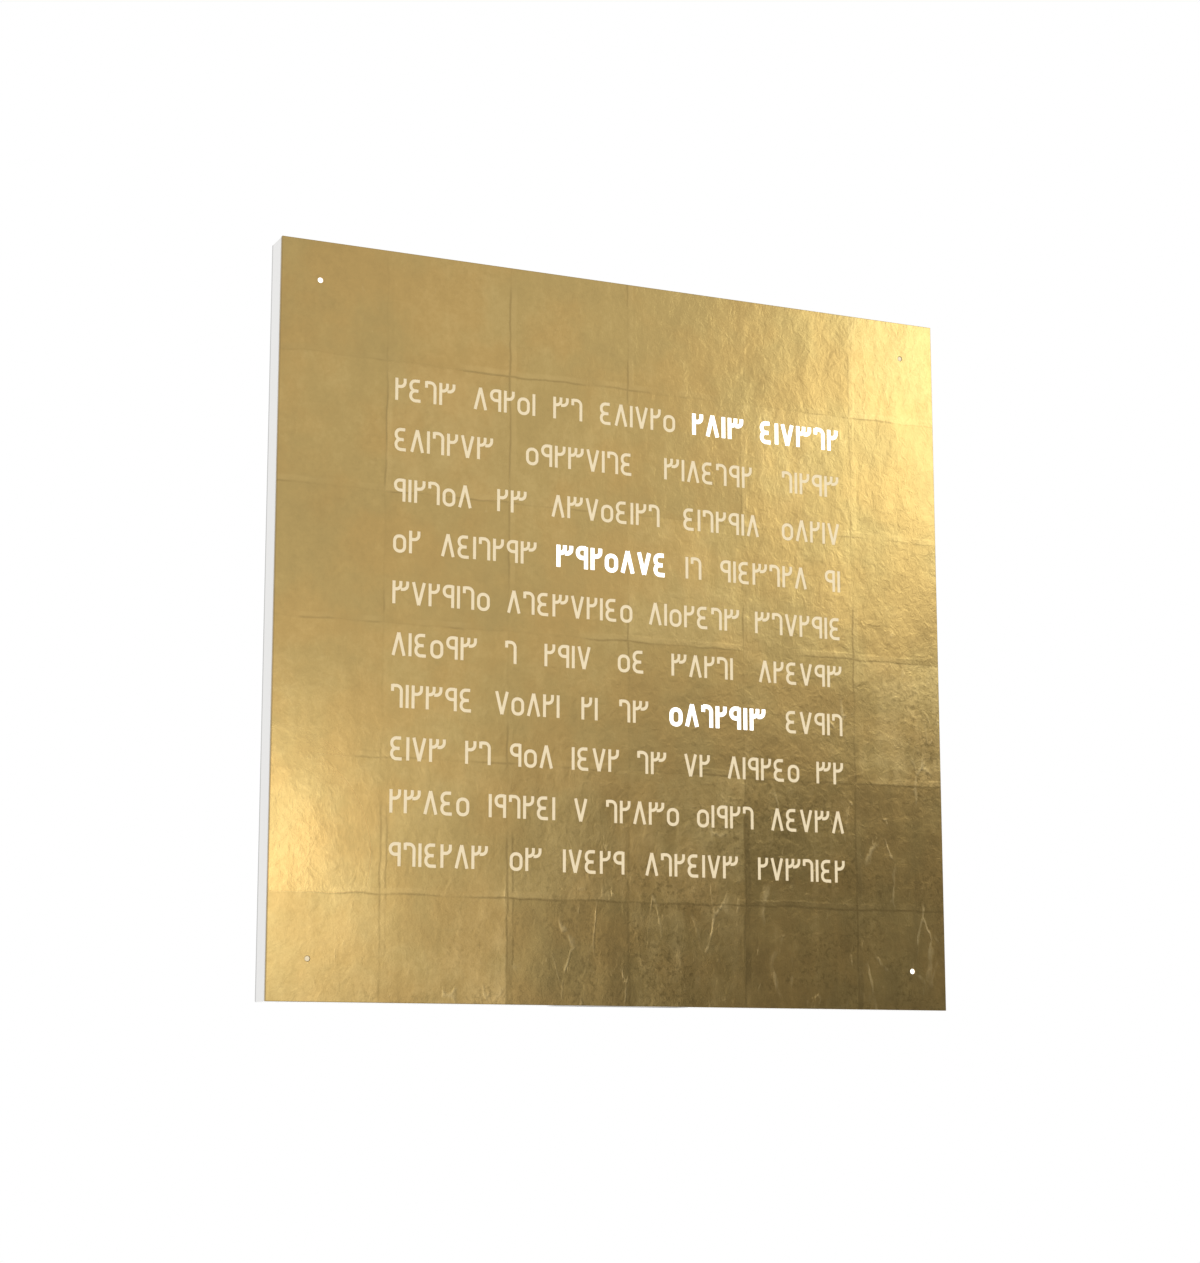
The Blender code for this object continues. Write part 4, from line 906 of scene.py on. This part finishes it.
class WALLCLOCK_OT_gilded_plate(bpy.types.Operator):
    """Cuts the numerals through the front plate and fills them with resin"""

    bl_idname = "wallclock.gilded_plate"
    bl_label = "Gilded Plate and Numerals"

    def execute(self, context):
        look = context.scene.wallclock_numerals
        front, back = PLATE_LOW.y, PLATE_HIGH.y
        corners, regions = self.pattern(look)
        plate = region_piece("gilded_plate", corners, regions["plate"], front, back)
        self.soften_rim(plate)
        finish_piece(plate, "front_cover", gilding(context.scene.wallclock_gilding), ("front_plate",))
        plate.data.materials.append(brushed("plate_steel", (0.50, 0.49, 0.47), 0.4))
        for face in plate.data.polygons:
            if face.normal.y > 0.9:
                face.material_index = 1
        for name, material in (
            ("unlit", resin("pale_resin", look.unlit_colour, 0)),
            ("lit", resin("lit_resin", look.lit_colour, look.glow)),
        ):
            made = region_piece(f"{name}_numerals", corners, regions[name], front + look.recess, back)
            finish_piece(made, "front_cover", material)
        return {"FINISHED"}

    @staticmethod
    def pattern(look):
        """The plate's face cut up along all outlines: its points, and its faces by what they belong to."""
        edge = [(PLATE_LOW.x, PLATE_LOW.z), (PLATE_HIGH.x, PLATE_LOW.z)]
        edge += [(PLATE_HIGH.x, PLATE_HIGH.z), (PLATE_LOW.x, PLATE_HIGH.z)]
        middles = [middle_of(f"dot_lens_{name}") for name in CORNER_NAMES]
        holes = [disc_outline(Vector((m.x, m.z)), DOT_HOLE_RADIUS, 32) for m in middles]
        unlit, lit, _ = face_outlines(look)
        points, faces = [], []
        for outline in ([Vector(p) for p in edge], *holes, *unlit, *lit):
            faces.append(list(range(len(points), len(points) + len(outline))))
            points += outline
        corners, _, kept, _, _, sources = delaunay_2d_cdt(points, [], faces, 1, 1e-7)
        owners = ["plate"] + ["hole"] * len(holes) + ["unlit"] * len(unlit) + ["lit"] * len(lit)
        regions = {owner: [] for owner in owners}
        for face, source in zip(kept, sources):
            regions[owners[max(source)]].append(face)
        return corners, regions

    @staticmethod
    def soften_rim(plate):
        """Takes the sharpness off the plate's outer edges."""
        form = bmesh.new()
        form.from_mesh(plate.data)

        def outer(vert):
            sides = ((vert.co.x, PLATE_HIGH.x), (vert.co.z, PLATE_HIGH.z))
            return any(abs(abs(place) - side) < TOUCHING for place, side in sides)

        rim = [
            edge
            for edge in form.edges
            if all(outer(vert) for vert in edge.verts) and len(edge.link_faces) == 2 and edge.calc_face_angle() > 1
        ]
        bmesh.ops.bevel(form, geom=rim, offset=RIM_BREAK, segments=2, affect="EDGES", profile=0.5)
        form.to_mesh(plate.data)
        form.free()


class WALLCLOCK_OT_corner_dots(bpy.types.Operator):
    """Turns the four dots of the plate's corners, two of them lit"""

    bl_idname = "wallclock.corner_dots"
    bl_label = "Corner Dots"

    def execute(self, context):
        look = context.scene.wallclock_numerals
        pale = resin("pale_dot", look.unlit_colour, 0)
        bright = resin("lit_dot", look.lit_colour, look.glow)
        for name in CORNER_NAMES:
            node = f"dot_lens_{name}"
            low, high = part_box(node)
            flange, reach = (high.x - low.x) / 2, high.y - low.y
            pin = flange - FLANGE_STEP
            profile = [(0, 0), (flange, 0), (flange, FLANGE_THICKNESS), (pin, FLANGE_THICKNESS)]
            profile += [(pin * share, reach - deep) for share, deep in LENS_CROWN]
            lens = turned_piece(f"lens_{name}", profile, 40)
            lay_along_y(lens, node, 1)
            material = bright if name in LIT_CORNER_NAMES else pale
            finish_piece(lens, "front_cover", material, (node,))
        return {"FINISHED"}


class WALLCLOCK_OT_lacquered_body(bpy.types.Operator):
    """Gives the body its lacquer outside and its milled board inside"""

    bl_idname = "wallclock.lacquered_body"
    bl_label = "Lacquered Body"

    def execute(self, context):
        dress("housing", lacquer(context.scene.wallclock_body))
        return {"FINISHED"}


class WALLCLOCK_OT_light_box(bpy.types.Operator):
    """Finishes the opal sheet, the light grid, the strips and the boards behind them"""

    bl_idname = "wallclock.light_box"
    bl_label = "Light Box"

    def execute(self, context):
        numerals = context.scene.wallclock_numerals
        dress("diffuser_sheet", opal_sheet(face_outlines(numerals)[2], numerals.height))
        dress("light_grid", grained("white_moulding", (0.8, 0.8, 0.78), 0.5, 1100.0, 0.00005, tone=0.03))
        dress_all("led_strip", led_strip_finish())
        dress_all("corner_led_board", grained("white_mask", WHITE_MASK, 0.4, 1500.0, 0.00003, tone=0.04))
        board = circuit_board(context.scene.wallclock_body)
        dress("matrix_board", board)
        dress("control_board", board)
        dress("ribbon_cable", grained("cable_sheath", (0.4, 0.41, 0.43), 0.45, 800.0, 0.00004))
        dress_all("corner_lead_", grained("lead_sheath", (0.4, 0.04, 0.03), 0.4, 900.0, 0.00003))
        return {"FINISHED"}


class WALLCLOCK_OT_fittings(bpy.types.Operator):
    """Finishes the rear cover, the hangers, the screws, the magnets and the studs"""

    bl_idname = "wallclock.fittings"
    bl_label = "Fittings"

    def execute(self, context):
        look = context.scene.wallclock_body
        zinc = brushed("zinc_plate", look.steel_colour, 0.34)
        for start in ("hanger_plate", "matrix_board_screw", "locating_stud"):
            dress_all(start, zinc)
        dress("rear_cover", grained("cover_paint", look.cover_colour, 0.55, 1300.0, 0.0001, tone=0.12))
        dress_all("cover_magnet", brushed("nickel_plate", NICKEL, 0.22))
        bright = brushed("screw_zinc", look.steel_colour, 0.28)
        for node in SCREW_NAMES:
            self.cross_screw(node, bright)
        return {"FINISHED"}

    @staticmethod
    def cross_screw(node, material):
        """A countersunk screw with a cross recess, its head at the wall."""
        low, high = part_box(node)
        head, length = (high.x - low.x) / 2, high.y - low.y
        shank = head * SCREW_SHANK_SHARE
        profile = [(0, -length), (shank * 0.3, -length), (shank, shank - length), (shank, shank - head)]
        profile += [(head, -0.00005), (head - 0.0001, 0), (0, 0)]
        screw = turned_piece(node.replace("screw", "cross_screw"), profile, 40)
        rings = []
        for deep, share in CROSS_LEVELS:
            corners = [
                Matrix.Rotation(math.radians(90 * turn), 2) @ Vector(corner) * share
                for turn in range(4)
                for corner in CROSS_ARM
            ]
            rings.append([(corner.x, corner.y, -deep) for corner in corners])
        recess = bmesh.new()
        add_loft(recess, rings)
        carve(screw, mesh_piece("recess", recess))
        lay_along_y(screw, node, -1)
        finish_piece(screw, "clock_body", material, (node,))


class WALLCLOCK_OT_controls(bpy.types.Operator):
    """Finishes the panel in the underside, its buttons and what is behind it"""

    bl_idname = "wallclock.controls"
    bl_label = "Controls"

    def execute(self, context):
        look = context.scene.wallclock_body
        black = grained("black_moulding", look.plastic_colour, 0.42, 1500.0, 0.00008, tone=0.15)
        dress("control_panel", black)
        dress("cell_holder", black)
        dress("microcontroller", leaded_chip())
        dress("dc_jack", cored("jack_moulding", look.plastic_colour, 0.4, self.key_axis("dc_jack"), 0.00115, NICKEL))
        dress("light_sensor", grained("sensor_moulding", (0.05, 0.05, 0.055), 0.25, 1500.0, 0.00003))
        dress("backup_cell", brushed("cell_steel", (0.66, 0.65, 0.63), 0.25))
        button = grained("button_moulding", look.button_colour, 0.32, 900.0, 0.00003, tone=0.04)
        for key in KEY_NAMES:
            dress(f"{key}_switch", black)
            self.dished_button(key, button)
        self.marks(grained("mark_paint", (0.8, 0.8, 0.79), 0.5, 1200.0, 0.00003, tone=0.04))
        return {"FINISHED"}

    @staticmethod
    def key_axis(node):
        """The upright axis of a button, the sensor or the socket, which all lie at one depth."""
        return Vector((middle_of(node).x, middle_of("mode_button").y, 0))

    def dished_button(self, key, material):
        """A push button with a shallow dish for the fingertip."""
        node = f"{key}_button"
        low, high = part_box(node)
        flange = (high.x - low.x) / 2
        cap, seat = flange - FLANGE_STEP, PANEL_HIGH.z + BUTTON_SEAT_GAP
        top = seat + BUTTON_FLANGE_THICKNESS
        profile = [(cap * share, low.z + deep) for share, deep in BUTTON_DISH]
        profile += [(cap, seat), (flange, seat), (flange, top), (BUTTON_STEM_RADIUS, top)]
        profile += [(BUTTON_STEM_RADIUS, high.z), (0, high.z)]
        made = turned_piece(f"{key}_button_cap", profile, 48)
        made.data.transform(Matrix.Translation(self.key_axis(node)))
        finish_piece(made, node, material, (node,))

    @staticmethod
    def marks(material):
        """Small raised marks beside the buttons: three bars, a minus and a plus."""
        form = bmesh.new()
        y = PANEL_LOW.y + MARK_INSET
        for key, bars in MARKS.items():
            x = middle_of(f"{key}_button").x
            for aside, deep, wide, high in bars:
                rings = []
                for level, share in MARK_LEVELS:
                    half_x, half_y = wide / 2 * share, high / 2 * share
                    square = ((-half_x, -half_y), (half_x, -half_y), (half_x, half_y), (-half_x, half_y))
                    rings.append([(x + aside + u, y + deep + v, PANEL_LOW.z + level) for u, v in square])
                add_loft(form, rings)
        finish_piece(mesh_piece("panel_marks", form), "clock_body", material)


class WALLCLOCK_OT_studio(bpy.types.Operator):
    """Sets up the floor, the even light, the lamps and the camera"""

    bl_idname = "wallclock.studio"
    bl_label = "Studio"

    def execute(self, context):
        scene = context.scene
        look = scene.wallclock_studio
        self.floor(look)
        self.surroundings(scene, look)
        self.card("dark_card", *DARK_CARD)
        for name, numbers in LAMPS.items():
            self.lamp(name, *numbers)
        camera = bpy.data.cameras.new("camera")
        camera.lens = look.lens
        placed = bpy.data.objects.new("camera", camera)
        placed.location = look.camera_place
        placed.rotation_euler = look.camera_turn
        scene.collection.objects.link(placed)
        scene.camera = placed
        scene.view_settings.view_transform = "Standard"
        return {"FINISHED"}

    @staticmethod
    def floor(look):
        """A round pale floor that throws light back up; the camera sees past it."""
        form = bmesh.new()
        bmesh.ops.create_circle(form, cap_ends=True, segments=96, radius=look.floor_radius)
        floor = mesh_piece("floor", form)
        floor.location.z = look.floor_height
        floor.data.materials.append(grained("floor_paint", (0.9, 0.9, 0.9), 0.8, 60.0, 0.0005, tone=0.01))
        floor.visible_camera = False

    @staticmethod
    def card(name, place, size, colour):
        """An upright card in front of the clock that only shows in gloss."""
        form = bmesh.new()
        bmesh.ops.create_grid(form, x_segments=1, y_segments=1, size=0.5)
        bmesh.ops.scale(form, vec=(*size, 1), verts=form.verts)
        made = mesh_piece(name, form)
        made.location = place
        made.rotation_euler = (math.radians(-90), 0, 0)
        made.data.materials.append(grained(name, colour, 0.9, 40.0, 0.0005))
        made.visible_camera = made.visible_diffuse = made.visible_shadow = made.visible_transmission = False

    @staticmethod
    def lamp(name, place, size, power, colour):
        """A soft lamp in front of the clock that the camera doesn't see."""
        light = bpy.data.lights.new(name, "AREA")
        light.shape = "RECTANGLE"
        light.size, light.size_y = size
        light.energy = power
        light.color = colour
        made = bpy.data.objects.new(name, light)
        made.location = place
        made.rotation_euler = (math.radians(90), 0, 0)
        made.visible_camera = False
        bpy.context.scene.collection.objects.link(made)

    @staticmethod
    def surroundings(scene, look):
        """Even light all round, in front of white."""
        world = bpy.data.worlds.new("surroundings")
        scene.world = world
        world.use_nodes = True
        bench = Bench(world.node_tree)
        background = world.node_tree.nodes["Background"]
        background.inputs["Color"].default_value = (1, 1, 1, 1)
        path = bench.add("ShaderNodeLightPath").outputs
        seen = bench.most(path["Is Camera Ray"], bench.most(path["Is Glossy Ray"], path["Is Transmission Ray"]))
        bench.feed(background.inputs["Strength"], look.level + seen * (1 - look.level))


class WALLCLOCK_PT_pieces(bpy.types.Panel):
    """Lists the clock's pieces and their settings"""

    bl_idname = "WALLCLOCK_PT_pieces"
    bl_label = "Wall Clock"
    bl_space_type = "VIEW_3D"
    bl_region_type = "UI"
    bl_category = "Wall Clock"

    def draw(self, context):
        for operator in OPERATORS:
            self.layout.operator(operator.bl_idname)
        for group, name in SETTINGS.items():
            box = self.layout.box()
            for setting in group.__annotations__:
                box.prop(getattr(context.scene, name), setting)


SETTINGS = {
    WALLCLOCK_PG_numerals: "wallclock_numerals",
    WALLCLOCK_PG_gilding: "wallclock_gilding",
    WALLCLOCK_PG_body: "wallclock_body",
    WALLCLOCK_PG_studio: "wallclock_studio",
}
OPERATORS = (
    WALLCLOCK_OT_gilded_plate,
    WALLCLOCK_OT_corner_dots,
    WALLCLOCK_OT_lacquered_body,
    WALLCLOCK_OT_light_box,
    WALLCLOCK_OT_fittings,
    WALLCLOCK_OT_controls,
    WALLCLOCK_OT_studio,
)


def register():
    for made in (*SETTINGS, *OPERATORS, WALLCLOCK_PT_pieces):
        bpy.utils.register_class(made)
    for group, name in SETTINGS.items():
        setattr(bpy.types.Scene, name, PointerProperty(type=group))


def unregister():
    for name in SETTINGS.values():
        delattr(bpy.types.Scene, name)
    for made in (WALLCLOCK_PT_pieces, *reversed(OPERATORS), *reversed(SETTINGS)):
        bpy.utils.unregister_class(made)


def main():
    register()
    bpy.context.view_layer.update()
    for operator in OPERATORS:
        family, name = operator.bl_idname.split(".")
        getattr(getattr(bpy.ops, family), name)()


if __name__ == "__main__":
    main()
